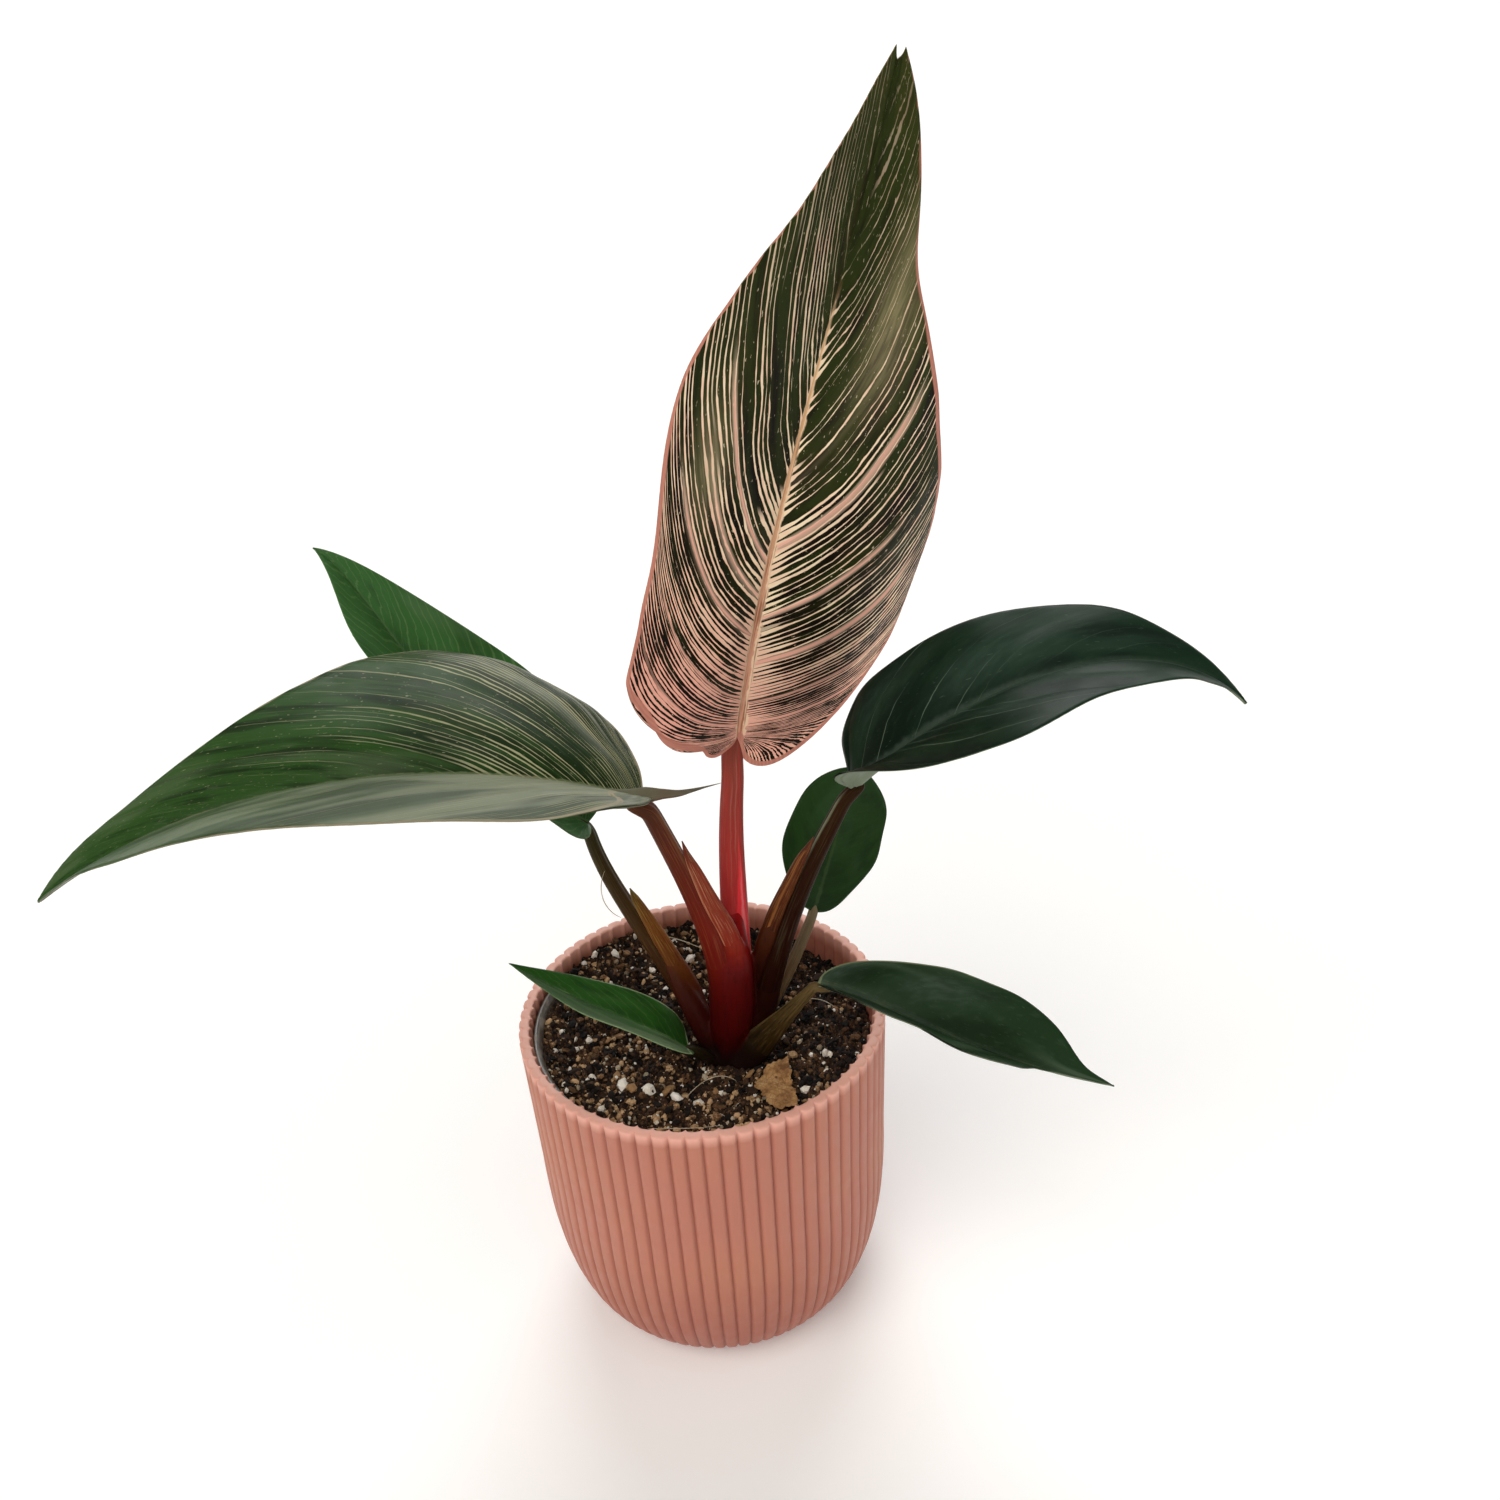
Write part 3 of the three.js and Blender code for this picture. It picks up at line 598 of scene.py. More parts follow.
@dataclass(frozen=True)
class LeafSkin:
    """A waxed leaf: a satin cuticle over green cells, with pale stripes that follow the veins.

    The UV map "Veins" counts stripes in U and runs from the midrib, 0, to the margin, 1, in V.
    Point values: "place" holds the distance from the midrib and from the margin in
    millimetres and the share of the length, "flush" how far the pale colour spreads, "fade"
    how strong the pale stripes are, "band" the wide pale bands, "thin" how many stripes are
    left out, "veil" how far a painted grazing sheen, a dull grey-green, hides the pattern,
    "sheen" the soft patches that mirror the light, and "upper" is 1 on top.

    Widths of the pale lines are shares of a stripe. Patch and dash are how much two noises
    change the width, wander is how far a line strays, and join is the width it gains at the
    midrib.
    """

    name: str
    ground: str
    ground_dark: str
    pale: str
    flush: str
    midrib: str
    midrib_high: str
    margin: str
    under: str
    line_width: float = 0.24
    line_spread: float = 0.3
    flush_width: float = 0.5
    dash: float = 0.9
    patch: float = 1.5
    join: float = 0.0
    line_strength: float = 1.0
    line_soft: float = 0.05
    wander: float = 1.0
    # The bloom colour is partly a waxy bloom and partly painted sheen in broad soft bands.
    bloom_and_sheen: str = "6b7560"
    # The veil colours paint a grey-green grazing sheen over a side seen edge-on.
    grazing_sheen: str = "868c76"
    grazing_sheen_dark: str = "505947"
    sheen: str = "7d846e"
    fibre: str = ""
    bloom_and_sheen_share: float = 0.3
    streak_share: float = 0.2
    midrib_mm: float = 1.6
    midrib_end: float = 0.95
    midrib_share: float = 1.0
    midrib_edge: float = 0.0
    midrib_blur: float = 0.25
    margin_mm: float = 0.6
    speck_share: float = 0.4
    gloss: float = 0.34
    specular: float = 0.25

    def lines(self, bench: Bench, veins: Signal) -> Signal:
        """How pale the surface is, from 0 to 1.

        Each stripe has one pale line with a width and a place of its own. The width grows
        with the flush and with two noises drawn out along the veins, one of a few stripes'
        width and a short one that breaks the dark lines into dashes. Where "thin" is high,
        more of the lines are left out. Where the stripes have faded, none start near the midrib.
        """
        add = bench.add
        count, out, _ = veins.parts()
        flush, thin, band, fade = (bench.stored(name) for name in ("flush", "thin", "band", "fade"))
        sway = (veins.drawn_out(0.3, 4) - 0.5) * (1.1 * self.wander)
        jitter = (veins.drawn_out(0.7, 14) - 0.5) * (0.3 * self.wander)
        stripe = count + (sway + jitter)
        number = add(Step.FLOOR, stripe)
        first, second, _ = add(Step.DRAW, number).parts()
        off = abs(stripe - number - (first * 0.3 + 0.35))
        kept = add(Step.RAMP, second - thin, -0.02, 0.05)
        width = first**2.5 * self.line_spread + self.line_width + flush * self.flush_width
        dashes = (veins.drawn_out(0.5, 13, 2, 0.6) - 0.5) * self.dash
        patches = (veins.drawn_out(0.24, 2.4, 3) - 0.5) * self.patch
        width = width + (dashes + patches) * (flush * 0.85 + 0.33)
        near_rib = add(Step.RAMP, out, 0.12, 0.0, 0.0, self.join) * add(Step.RAMP, fade, 0.6, 0.95)
        inside = (width + near_rib) * 0.5 - off
        line = add(Step.RAMP, inside, -self.line_soft, self.line_soft) * kept
        clear = add(Step.MAXIMUM, add(Step.RAMP, out, 0.15, 0.45), add(Step.RAMP, fade, 0.5, 0.8))
        return add(Step.MAXIMUM, line * clear, band)

    def green(self, bench: Bench, veins: Signal, line: Signal, share: Signal, hair: Signal) -> Signal:
        """The colour between the pale lines: two greens, a waxy bloom that is partly painted sheen,
        specks, and the veil, a painted grazing sheen.
        """
        add = bench.add
        open_share = 1 - bench.stored("flush") * 0.7
        tone = veins.drawn_out(0.4, 2.0, 3) + (share - 0.4) * 0.25
        tone = add(Step.RAMP, tone, 0.38, 0.62) * open_share
        colour = add(Step.MIX, tone, self.ground_dark, self.ground)
        # Painted sheen: soft bands and fine streaks mix towards the bloom colour, which also stands for a
        # waxy bloom.
        haze = veins.drawn_out(0.1, 1.6)
        dull = add(Step.RAMP, haze, 0.48, 0.7, 0.0, self.bloom_and_sheen_share) * open_share
        colour = add(Step.MIX, dull, colour, self.bloom_and_sheen)
        dull = add(Step.RAMP, hair, 0.56, 0.72, 0.0, self.streak_share) * open_share
        colour = add(Step.MIX, dull, colour, self.bloom_and_sheen)
        speck = add(Step.RAMP, veins.drawn_out(2.2, 46), 0.66, 0.74, 0.0, self.speck_share)
        colour = add(Step.MIX, speck, colour, self.pale)
        # Painted grazing sheen: where the veil value is high, a grey-green covers the pattern.
        waxy = add(Step.MIX, add(Step.RAMP, haze, 0.42, 0.58), self.grazing_sheen_dark, self.grazing_sheen)
        waxy = add(Step.MIX, line * 0.4, waxy, self.flush)
        return add(Step.MIX, bench.stored("grazing_sheen") * 0.85, colour, waxy)

    def stripe(self, bench: Bench, out: Signal) -> Signal:
        """The colour of the pale lines: rosier in the flush, in blots, outwards and in the bands."""
        add = bench.add
        colour = add(Step.MIX, add(Step.RAMP, bench.stored("flush"), 0.35, 1.1), self.pale, self.flush)
        blot = add(Step.RAMP, bench.spots(6, 3), 0.4, 0.65, 0.0, 0.35)
        rosy = add(Step.MAXIMUM, blot + add(Step.RAMP, out, 0.12, 0.6, 0.0, 0.15), bench.stored("band"))
        return add(Step.MIX, add(Step.MINIMUM, rosy, 0.9), colour, self.flush)

    def with_midrib(self, bench: Bench, colour: Signal, along_leaf: Signal) -> Signal:
        """Lays the midrib, which narrows to its end and has fibres in it, over a colour."""
        add = bench.add
        from_rib, _, share = along_leaf.parts()
        width = add(Step.RAMP, share, 0.0, self.midrib_end, self.midrib_mm, self.midrib_mm * 0.2)
        width = width * add(Step.RAMP, bench.spots(2), 0.3, 0.7, 0.7, 1.2)
        cover = add(Step.RAMP, from_rib - width, self.midrib_blur, -self.midrib_blur)
        cover = cover * add(Step.RAMP, share, self.midrib_end, self.midrib_end - 0.12)
        rib = add(Step.MIX, add(Step.RAMP, share, 0.1, 0.6), self.midrib, self.midrib_high)
        edge = add(Step.RAMP, from_rib - width * 0.5, -0.15, 0.2)
        rib = add(Step.MIX, edge * self.midrib_edge, rib, self.pale)
        lengthwise = add(Step.STRETCH, along_leaf, (2.2, 0.0, 12))
        fibre = add(Step.RAMP, add(Step.NOISE, lengthwise, 1.0, 3), 0.5, 0.62, 0.0, 0.7)
        rib = add(Step.MIX, fibre, rib, self.fibre or self.margin)
        return add(Step.MIX, cover * self.midrib_share, colour, rib)

    def with_margin(self, bench: Bench, colour: Signal, along_leaf: Signal) -> Signal:
        """Lays the margin's line, which narrows and fades towards the tip, over a colour."""
        _, from_margin, share = along_leaf.parts()
        width = bench.add(Step.RAMP, share, 0.45, 1.0, self.margin_mm, self.margin_mm * 0.3)
        cover = bench.add(Step.RAMP, width - from_margin, 0.0, 0.35)
        cover = cover * bench.add(Step.RAMP, share, 1.0, 0.6, 0.5, 0.92)
        return bench.add(Step.MIX, cover, colour, self.margin)

    def build(self) -> bpy.types.Material:
        """Makes the material."""
        bench = Bench(self.name)
        veins = bench.add(Step.UV, uv_map="Veins")
        along_leaf = bench.stored("place", "Vector")
        line = self.lines(bench, veins)
        pale = line * (bench.stored("fade") * self.line_strength) * (1 - bench.stored("grazing_sheen") * 0.75)
        hair = veins.drawn_out(2.1, 7)
        colour = self.green(bench, veins, line, along_leaf.parts()[2], hair)
        colour = bench.add(Step.MIX, pale, colour, self.stripe(bench, veins.parts()[1]))
        sheen = bench.stored("sheen") * bench.add(Step.RAMP, hair, 0.4, 0.6, 0.6, 1.0)
        colour = bench.add(Step.MIX, sheen, colour, self.sheen)
        colour = self.with_midrib(bench, colour, along_leaf)
        colour = self.with_margin(bench, colour, along_leaf)
        under = bench.add(Step.MIX, pale * 0.3, self.under, self.pale)
        colour = bench.add(Step.MIX, bench.stored("upper"), under, colour)
        rough = bench.add(Step.RAMP, bench.spots(9), 0.3, 0.7, self.gloss, self.gloss + 0.12)
        return bench.finish(
            pale * 0.5 + bench.spots(0.5) * 0.35, 0.07, 0.5, Base_Color=colour,
            Roughness=rough + pale * 0.08, IOR=1.42, Specular_IOR_Level=self.specular,
        )


@dataclass(frozen=True)
class DryLeaf:
    """A dead leaf: papery, tan, with darker spots and a net of brown veins."""

    tan: str = "a67c4e"
    brown: str = "6e4a2a"
    light: str = "c29c6c"
    cell_mm: float = 1.6

    def build(self) -> bpy.types.Material:
        """Makes the material."""
        bench = Bench("papery_dead_leaf")
        cloud = bench.spots(4, 4, 0.6)
        colour = bench.stops(cloud, (0.34, self.brown), (0.5, self.tan), (0.68, self.light))
        cells = bench.add(Step.CELLS, bench.place, 1 / (self.cell_mm * MM))
        net = bench.add(Step.RAMP, cells, 0.08, 0.0, 0.0, 0.55)
        colour = bench.add(Step.MIX, net, colour, self.brown)
        return bench.finish(cloud, 0.4, 0.8, Base_Color=colour, Roughness=0.85, IOR=1.4)


@dataclass(frozen=True)
class Fibre:
    """Root hair and peat fibre: thin, pale and dull."""

    colour: str = "a89878"
    light: str = "d8cbb4"

    def build(self) -> bpy.types.Material:
        """Makes the material."""
        bench = Bench("pale_root_fibre")
        tone = bench.add(Step.RAMP, bench.spots(4), 0.3, 0.7)
        colour = bench.add(Step.MIX, tone, self.colour, self.light)
        return bench.finish(Base_Color=colour, Roughness=0.7, IOR=1.4)


# The pots


@dataclass
class CoverPot:
    """The fluted outer pot: convex ribs with sharp grooves, a scalloped rim, a rounded bottom.

    Below the shoulder its outline is a superellipse, whose power is its roundness.
    """

    height: float
    rim_radius: float
    shoulder_height: float = 60
    shoulder_radius: float = 53.8
    base_radius: float = 31.9
    roundness: float = 2.44
    wall: float = 3
    floor: float = 4
    ribs: int = 72
    columns: int = 12
    first_groove_deg: float = 1.4
    groove_depth: float = 1.25
    inner_depth: float = 0.95
    groove_power: float = 4.2
    rim_round: float = 0.6
    # Where the painted highlight along the rim starts and where it is full, below the top.
    rim_highlight_band: tuple[float, float] = (1.4, 0.5)
    foot_round: float = 2.2

    def radius_at(self, z: Array, inset: float) -> Array:
        """Radius of the outline at heights, moved in by the inset for the inside."""
        shoulder = self.shoulder_radius - inset
        foot = self.floor if inset > 0 else 0.0
        base = self.base_radius - inset * 0.6
        rise = (z - self.shoulder_height) / (self.height - self.shoulder_height)
        above = shoulder + (self.rim_radius - self.shoulder_radius) * rise
        drop = np.clip((self.shoulder_height - z) / (self.shoulder_height - foot), 0, 1)
        below = base + (shoulder - base) * (1 - drop**self.roundness) ** (1 / self.roundness)
        return np.where(z >= self.shoulder_height, above, below)

    def profile(self) -> tuple[Array, Array, Array]:
        """Radius and height down the profile, and how deep the ribs are cut at each point.

        It runs from the centre of the underside, out round the foot, up the outside, over
        the rounded rim, down the inside and back to the centre of the floor.
        """
        turn = np.linspace(0, math.pi / 2, 26)[:-1]
        top = self.height - self.rim_round
        bottom = self.shoulder_height * (1 - np.cos(turn))
        up = np.concatenate([bottom, np.linspace(self.shoulder_height, top, 14)])
        outside = np.stack([self.radius_at(up, 0.0), up], -1)
        half = self.wall / 2
        over = np.linspace(0, math.pi, 11)[1:-1]
        lift = top + self.rim_round * np.sin(over) ** 0.6
        rim = np.stack([self.rim_radius - half + half * np.cos(over), lift], -1)
        down = np.concatenate([
            np.linspace(top, self.shoulder_height, 10),
            self.floor + (self.shoulder_height - self.floor) * (1 - np.sin(turn[2::3])),
        ])
        inside = np.stack([self.radius_at(down, self.wall), down], -1)
        foot = [[0.0, 0.0], [self.base_radius * 0.5, 0.0], [self.base_radius - self.foot_round, 0.0]]
        line = np.concatenate([foot, outside, rim, inside, [[0.0, self.floor]]])
        depth = np.concatenate([
            np.zeros(len(foot)),
            np.full(len(outside), self.groove_depth),
            np.linspace(self.groove_depth, self.inner_depth, len(rim)),
            np.full(len(inside), self.inner_depth),
            [0.0],
        ])
        return line[:, 0], line[:, 1], depth

    def build(self) -> None:
        """Makes the pot.

        At each angle the radius is the profile's, less the groove's depth times
        |2f - 1| to the groove's power, where f is the place across a rib from 0 to 1, so each
        rib is convex and the grooves are sharp. The depth shrinks with the radius to the foot.
        """
        radius, height, depth = self.profile()
        around = self.ribs * self.columns
        angle = np.arange(around) / around * 2 * math.pi + math.radians(self.first_groove_deg)
        across = (np.arange(around) % self.columns) / self.columns
        cut = np.abs(2 * across - 1) ** self.groove_power
        wide = radius[:, None] - (depth * radius / self.rim_radius)[:, None] * cut[None, :]
        up = np.broadcast_to(height[:, None], wide.shape)
        points = np.stack([wide * np.cos(angle), wide * np.sin(angle), up], -1)
        quads = grid_quads(len(radius), around, wrap=True)
        piece = make_piece("fluted_pot", points.reshape(-1, 3), quads)
        # The groove value places painted shade in the grooves.
        groove = np.broadcast_to(smoothstep(0.3, 1.0, cut)[None, :], wide.shape) * (depth > 0)[:, None]
        point_value(piece, "groove", groove.ravel())
        # The rim value places a painted highlight along the rim.
        low, high = self.rim_highlight_band
        point_value(piece, "rim", smoothstep(self.height - low, self.height - high, up).ravel())
        merge(piece)
        settle(piece, PotPlastic().build(), "pot_plastic", "cover_pot")


@dataclass
class NurseryPot:
    """The thin liner. Its rim shows only on the left, between the two bare angles.

    Elsewhere soil covers it, so there the rim is only as high as "covered".
    """

    bottom: float = 4.3
    rim: float = 100.5
    bottom_radius: float = 29.5
    shoulder_radius: float = 49.4
    lip_radius: float = 51
    lip_height: float = 3.5
    wall: float = 1
    covered: float = 91
    bare_deg: tuple[float, float] = (150, 222)
    around: int = 180

    def build(self) -> None:
        """Makes the liner: a turned profile whose rim is lower where soil covers it."""
        turn = np.linspace(0, math.pi / 2, 18)
        tall = self.rim - self.bottom
        below = tall - self.lip_height
        rise = 56 * (1 - np.cos(turn))
        widen = self.bottom_radius + (self.shoulder_radius - self.bottom_radius) * np.sin(turn) ** 0.82
        out = np.concatenate([[0, self.bottom_radius - 1.5], widen, [self.shoulder_radius + 0.3]])
        up = np.concatenate([[0, 0], rise, [below]])
        lip = np.array([
            [self.lip_radius - 0.3, below + 0.2],
            [self.lip_radius, below + 0.8],
            [self.lip_radius, tall - 0.3],
            [self.lip_radius - 0.3, tall],
            [self.lip_radius - self.wall, tall - 0.1],
        ])
        inner = np.stack([np.maximum(out - self.wall, 0), up + self.wall], -1)[::-1]
        line = np.concatenate([np.stack([out, up], -1), lip, inner[:-1], [[0, self.wall]]])
        angle = np.arange(self.around) / self.around * 360
        low, high = self.bare_deg
        bare = smoothstep(low - 9, low + 3, angle) * smoothstep(high + 9, high - 3, angle)
        top = self.covered + (self.rim - self.covered) * bare
        height = self.bottom + line[:, 1:] * ((top - self.bottom) / tall)[None, :]
        narrow = 1 - 0.9 * (1 - bare)[None, :] * smoothstep(40, 90, line[:, 1:]) / self.lip_radius
        wide = line[:, :1] * narrow
        turn = np.radians(angle)[None, :]
        points = np.stack([wide * np.cos(turn), wide * np.sin(turn), height], -1)
        piece = make_piece("liner", points.reshape(-1, 3), grid_quads(len(line), self.around, wrap=True))
        merge(piece)
        settle(piece, LinerPlastic().build(), "liner_plastic", "nursery_pot")


# Soil


@dataclass
class SoilBed:
    """Potting soil: a lumpy surface, with loose peat, bark and perlite lying on it.

    A bank is an angle in degrees and its rise at the wall. A hollow is a centre, the square
    of its spread and its depth. A grain of big perlite is a place and a radius.
    """

    radius: float
    level: float = 92
    banks: Pairs = (
        (0, 0.5), (30, 0.5), (50, 2), (75, 4.5), (92, 6), (115, 7.6), (150, 7.5), (180, 6), (215, 4),
        (245, 1), (260, 0), (360, 0.5),
    )
    bank_start: float = 18
    crown: tuple[float, float] = (9, -6)
    crown_radius: float = 8.5
    hollows: tuple[tuple[float, float, float, float], ...] = (
        (9, -6, 260, 1.6), (-4, -20, 22, 3.6), (14, 14, 220, 2.2),
    )
    rings: int = 150
    spokes: int = 360
    bottom: float = 72
    bare: tuple[float, float] = (150, 222)
    bare_radius: float = 48.7
    big_perlite: Triples = (
        (-25.1, -18.5, 2.2), (-17.6, -22.6, 1.9), (-9.9, -26.3, 1.7), (-3.4, -28.2, 1.6),
        (-31.3, -29.6, 1.5), (-33.9, -15.3, 1.3), (-14.7, 30.7, 1.5), (-32.7, 35.9, 1.4),
        (-26.2, 36.9, 1.6), (-43.0, 4.1, 1.4), (-34.8, -0.5, 1.3), (-2.2, 34.4, 1.4),
        (35.2, -15.5, 1.5), (27.2, -29.3, 1.6), (2.9, -25.4, 1.1), (-19.4, 44.5, 1.3),
    )

    def reach(self, angle: Array) -> Array:
        """Radius of the bed: inside the liner where its rim is bare, else up to the pot's wall."""
        low, high = self.bare
        bare = smoothstep(low - 6, low + 4, angle) * smoothstep(high + 6, high - 4, angle)
        return self.radius - (self.radius - self.bare_radius) * bare

    def height(self, x: Array, y: Array) -> Array:
        """Height of the surface.

        It is the level, plus a bank towards the wall, less the hollows, plus lumps of three
        sizes.
        """
        radius = np.hypot(x, y)
        around, rises = zip(*self.banks)
        rise = np.interp(np.degrees(np.arctan2(y, x)) % 360, around, rises)
        bank = rise * np.clip((radius - self.bank_start) / (self.radius - self.bank_start), 0, 1) ** 1.3
        sunk = 0.0
        for cx, cy, spread, deep in self.hollows:
            sunk = sunk + deep * np.exp(-((x - cx) ** 2 + (y - cy) ** 2) / spread)
        lumps = np.sin(x * 0.31 + 1.3) * np.cos(y * 0.27 - 0.6)
        lumps = lumps + 0.6 * np.sin(x * 0.83 + y * 0.61) * np.cos(y * 0.77 - x * 0.35)
        fine = ripples(x, y, 4.2, 11, 18) * 0.85 + ripples(x, y, 1.5, 12, 26) * 0.5
        edge = smoothstep(self.radius - 4, self.radius, radius)
        return self.level + bank - sunk + 0.9 * lumps + fine - 0.8 * edge

    def surface(self) -> bpy.types.Object:
        """Makes the bed: the height over a disc, with a side and a flat underside."""
        a = np.arange(self.spokes) / self.spokes * 2 * math.pi
        r = np.linspace(0, 1, self.rings)[:, None] ** 0.8 * self.reach(np.degrees(a))[None, :]
        x = r * np.cos(a)
        y = r * np.sin(a)
        top = np.stack([x, y, self.height(x, y)], -1)
        rim = top[-1:] * (0.97, 0.97, 0) + (0, 0, self.bottom)
        under = rim * (0, 0, 1)
        points = np.concatenate([top, rim * (0.86, 0.86, 1), under])
        quads = grid_quads(len(points), self.spokes, wrap=True)
        piece = make_piece("soil_bed", points.reshape(-1, 3), quads)
        merge(piece)
        return piece

    def lie(self, local: Array, placed: Array, flat: float, draw: np.random.Generator) -> Array:
        """Tilts and turns each bit at random and moves it to its place on the surface."""
        total = len(placed)
        turn, tilt = draw.uniform(0, 2 * math.pi, total), draw.normal(0, 0.5, total)
        c, s = np.cos(tilt)[:, None], np.sin(tilt)[:, None]
        lx, lz = local[..., 0] * c - local[..., 2] * s, local[..., 0] * s + local[..., 2] * c
        c, s = np.cos(turn)[:, None], np.sin(turn)[:, None]
        px, py = lx * c - local[..., 1] * s, lx * s + local[..., 1] * c
        ground = self.height(placed[:, 0], placed[:, 1]) + placed[:, 2] * (0.32 - 0.2 * flat)
        return np.stack([px + placed[:, :1], py + placed[:, 1:2], lz + ground[:, None]], -1)

    def scatter(
        self, name: str, count: int, sizes: tuple[float, float], flat: float, seed: int,
        fixed: Triples = (), reach: float = 0.985, power: float = 2.5,
    ) -> bpy.types.Object:
        """Makes one mesh of loose bits that lie on the soil.

        Each bit is a ball of twenty triangles, stretched along seeded axes, roughened, turned
        and set a third of its size deep. Small bits are more common than large ones.

        Args:
            name: the piece's name.
            count: number of bits placed at random, kept off the crown.
            sizes: smallest and largest radius.
            flat: 0 for balls, up to 1 for flakes.
            seed: seed of the random draw.
            fixed: bits with a place of their own, as x, y and radius. They are never dark.
            reach: share of the bed's radius that the bits reach.
            power: how much rarer large bits are.

        Returns:
            The piece, with its tone at the vertices. The tone varies in broad patches, is darker
            to the right as painted shade and is lighter at the front.
        """
        draw = np.random.default_rng(seed)
        work = bmesh.new()
        bmesh.ops.create_icosphere(work, subdivisions=1, radius=1.0)
        ball = np.array([v.co for v in work.verts])
        work.verts.index_update()
        faces = np.array([[v.index for v in f.verts] for f in work.faces])
        work.free()
        angle = draw.uniform(0, 2 * math.pi, count)
        r = np.sqrt(draw.uniform(0, 1, count)) * self.reach(np.degrees(angle)) * reach
        x, y = r * np.cos(angle), r * np.sin(angle)
        size = sizes[0] + (sizes[1] - sizes[0]) * draw.uniform(0, 1, count) ** power
        clear = np.hypot(x - self.crown[0], y - self.crown[1]) > self.crown_radius
        placed = np.stack([x, y, size], -1)[clear]
        if fixed:
            placed = np.concatenate([np.array(fixed), placed])
        total = len(placed)
        stretch = draw.uniform(0.65, 1.35, (total, 1, 3))
        stretch[..., 2] *= 1 - flat * 0.8
        stretch[..., 0] *= 1 + flat * 0.9
        bumps = 1 + draw.uniform(-0.28, 0.28, (total, len(ball), 1))
        local = ball[None] * bumps * stretch * placed[:, None, 2:3]
        points = self.lie(local, placed, flat, draw)
        index = (faces[None] + (np.arange(total) * len(ball))[:, None, None]).reshape(-1, 3)
        piece = make_piece(name, points.reshape(-1, 3), index, smooth=False)
        east, north = placed[:, 0], placed[:, 1]
        # Painted shade: the bits are darker to the right, where the soil lies in shade; broad ripples vary
        # the tone and it is lighter at the front.
        tone_and_shade = 0.2 * ripples(east, north, 13, 31, 7) - 0.26 * smoothstep(0, 38, east)
        tone_and_shade = tone_and_shade + 0.16 * smoothstep(-8, -34, north)
        tone = 0.12 + 0.83 * draw.uniform(0, 1, total) ** 1.35 + tone_and_shade * (not fixed)
        lowest = np.where(np.arange(total) < len(fixed), 0.6, 0.08)
        point_value(piece, "tone", np.repeat(np.clip(tone, lowest, 0.97), len(ball)))
        return piece

    def build(self) -> None:
        """Makes the bed and everything loose on it."""
        settle(self.surface(), PeatMix().build(), "soil", "potting_soil")
        shades = ((0.1, "050201"), (0.42, "1a0e07"), (0.7, "634429"), (0.92, "c29e76"))
        peat = Crumb("peat_crumbs", shades, 0.45, 0.95)
        shades = ((0.1, "0c0503"), (0.5, "3a2214"), (0.95, "94704a"))
        bark = Crumb("bark_flakes", shades, 0.5, 0.9)
        shades = ((0.05, "7c6850"), (0.4, "c8b89e"), (0.7, "f6efe4"))
        perlite = Crumb("expanded_perlite", shades, 0.5, 0.8)
        settle(self.scatter("peat_crumbs", 7600, (0.22, 1.15), 0.3, 21), peat.build(), "soil")
        settle(self.scatter("bark_flakes", 330, (0.4, 1.9), 0.7, 22), bark.build(), "soil")
        grains = self.scatter("perlite_grains", 1300, (0.18, 0.95), 0.0, 23, self.big_perlite, power=2.6)
        settle(grains, perlite.build(), "soil")


@dataclass
class DryScrap:
    """A dry piece of leaf with torn edges that lies on the soil, one corner raised.

    Its outline is given as angles in degrees and radii about its centre.
    """

    centre: Triple = (19.0, -27.5, 94.2)
    outline: Pairs = (
        (0, 4.4), (28, 5.2), (50, 7.2), (63, 10.4), (72, 8.6), (90, 8.4), (108, 7.2), (135, 6.2),
        (160, 6.6), (176, 5.0), (200, 4.4), (232, 5.0), (250, 7.4), (270, 9.2), (290, 9.6),
        (305, 9.2), (325, 6.6), (345, 4.8), (360, 4.4),
    )
    thickness: float = 0.35
    rings: int = 34
    spokes: int = 160

    def build(self) -> None:
        """Makes the scrap: rings out to the torn outline, lifted at one corner and crumpled."""
        angle = np.arange(self.spokes) / self.spokes * 360
        known, radii = zip(*self.outline)
        edge = np.interp(angle, known, radii)
        edge = edge + 0.35 * np.sin(np.radians(angle * 11)) + 0.2 * np.sin(np.radians(angle * 29 + 40))
        ring = np.linspace(0.0, 1, self.rings)[:, None]
        turn = np.radians(angle)
        x, y = ring * edge * np.cos(turn), ring * edge * np.sin(turn)
        corner = 2.6 * np.clip((x * 0.35 + y * 0.94 - 1) / 9, 0, 1) ** 1.5
        raised = corner + 0.9 * np.clip(x / 5, 0, 1) ** 2
        z = raised + 0.5 * np.cos(x * 0.4) + 0.3 * ripples(x, y, 5, 31) + 0.1 * ripples(x, y, 1.4, 32)
        points = np.stack([x, y, z], -1) + self.centre
        quads = grid_quads(self.rings, self.spokes, wrap=True)
        piece = make_piece("dry_scrap", points.reshape(-1, 3), quads)
        merge(piece)
        wall = piece.modifiers.new("wall", "SOLIDIFY")
        wall.thickness = self.thickness * MM
        bake_modifiers(piece)
        settle(piece, DryLeaf().build(), "dry_leaf", "dry_leaf_scrap")


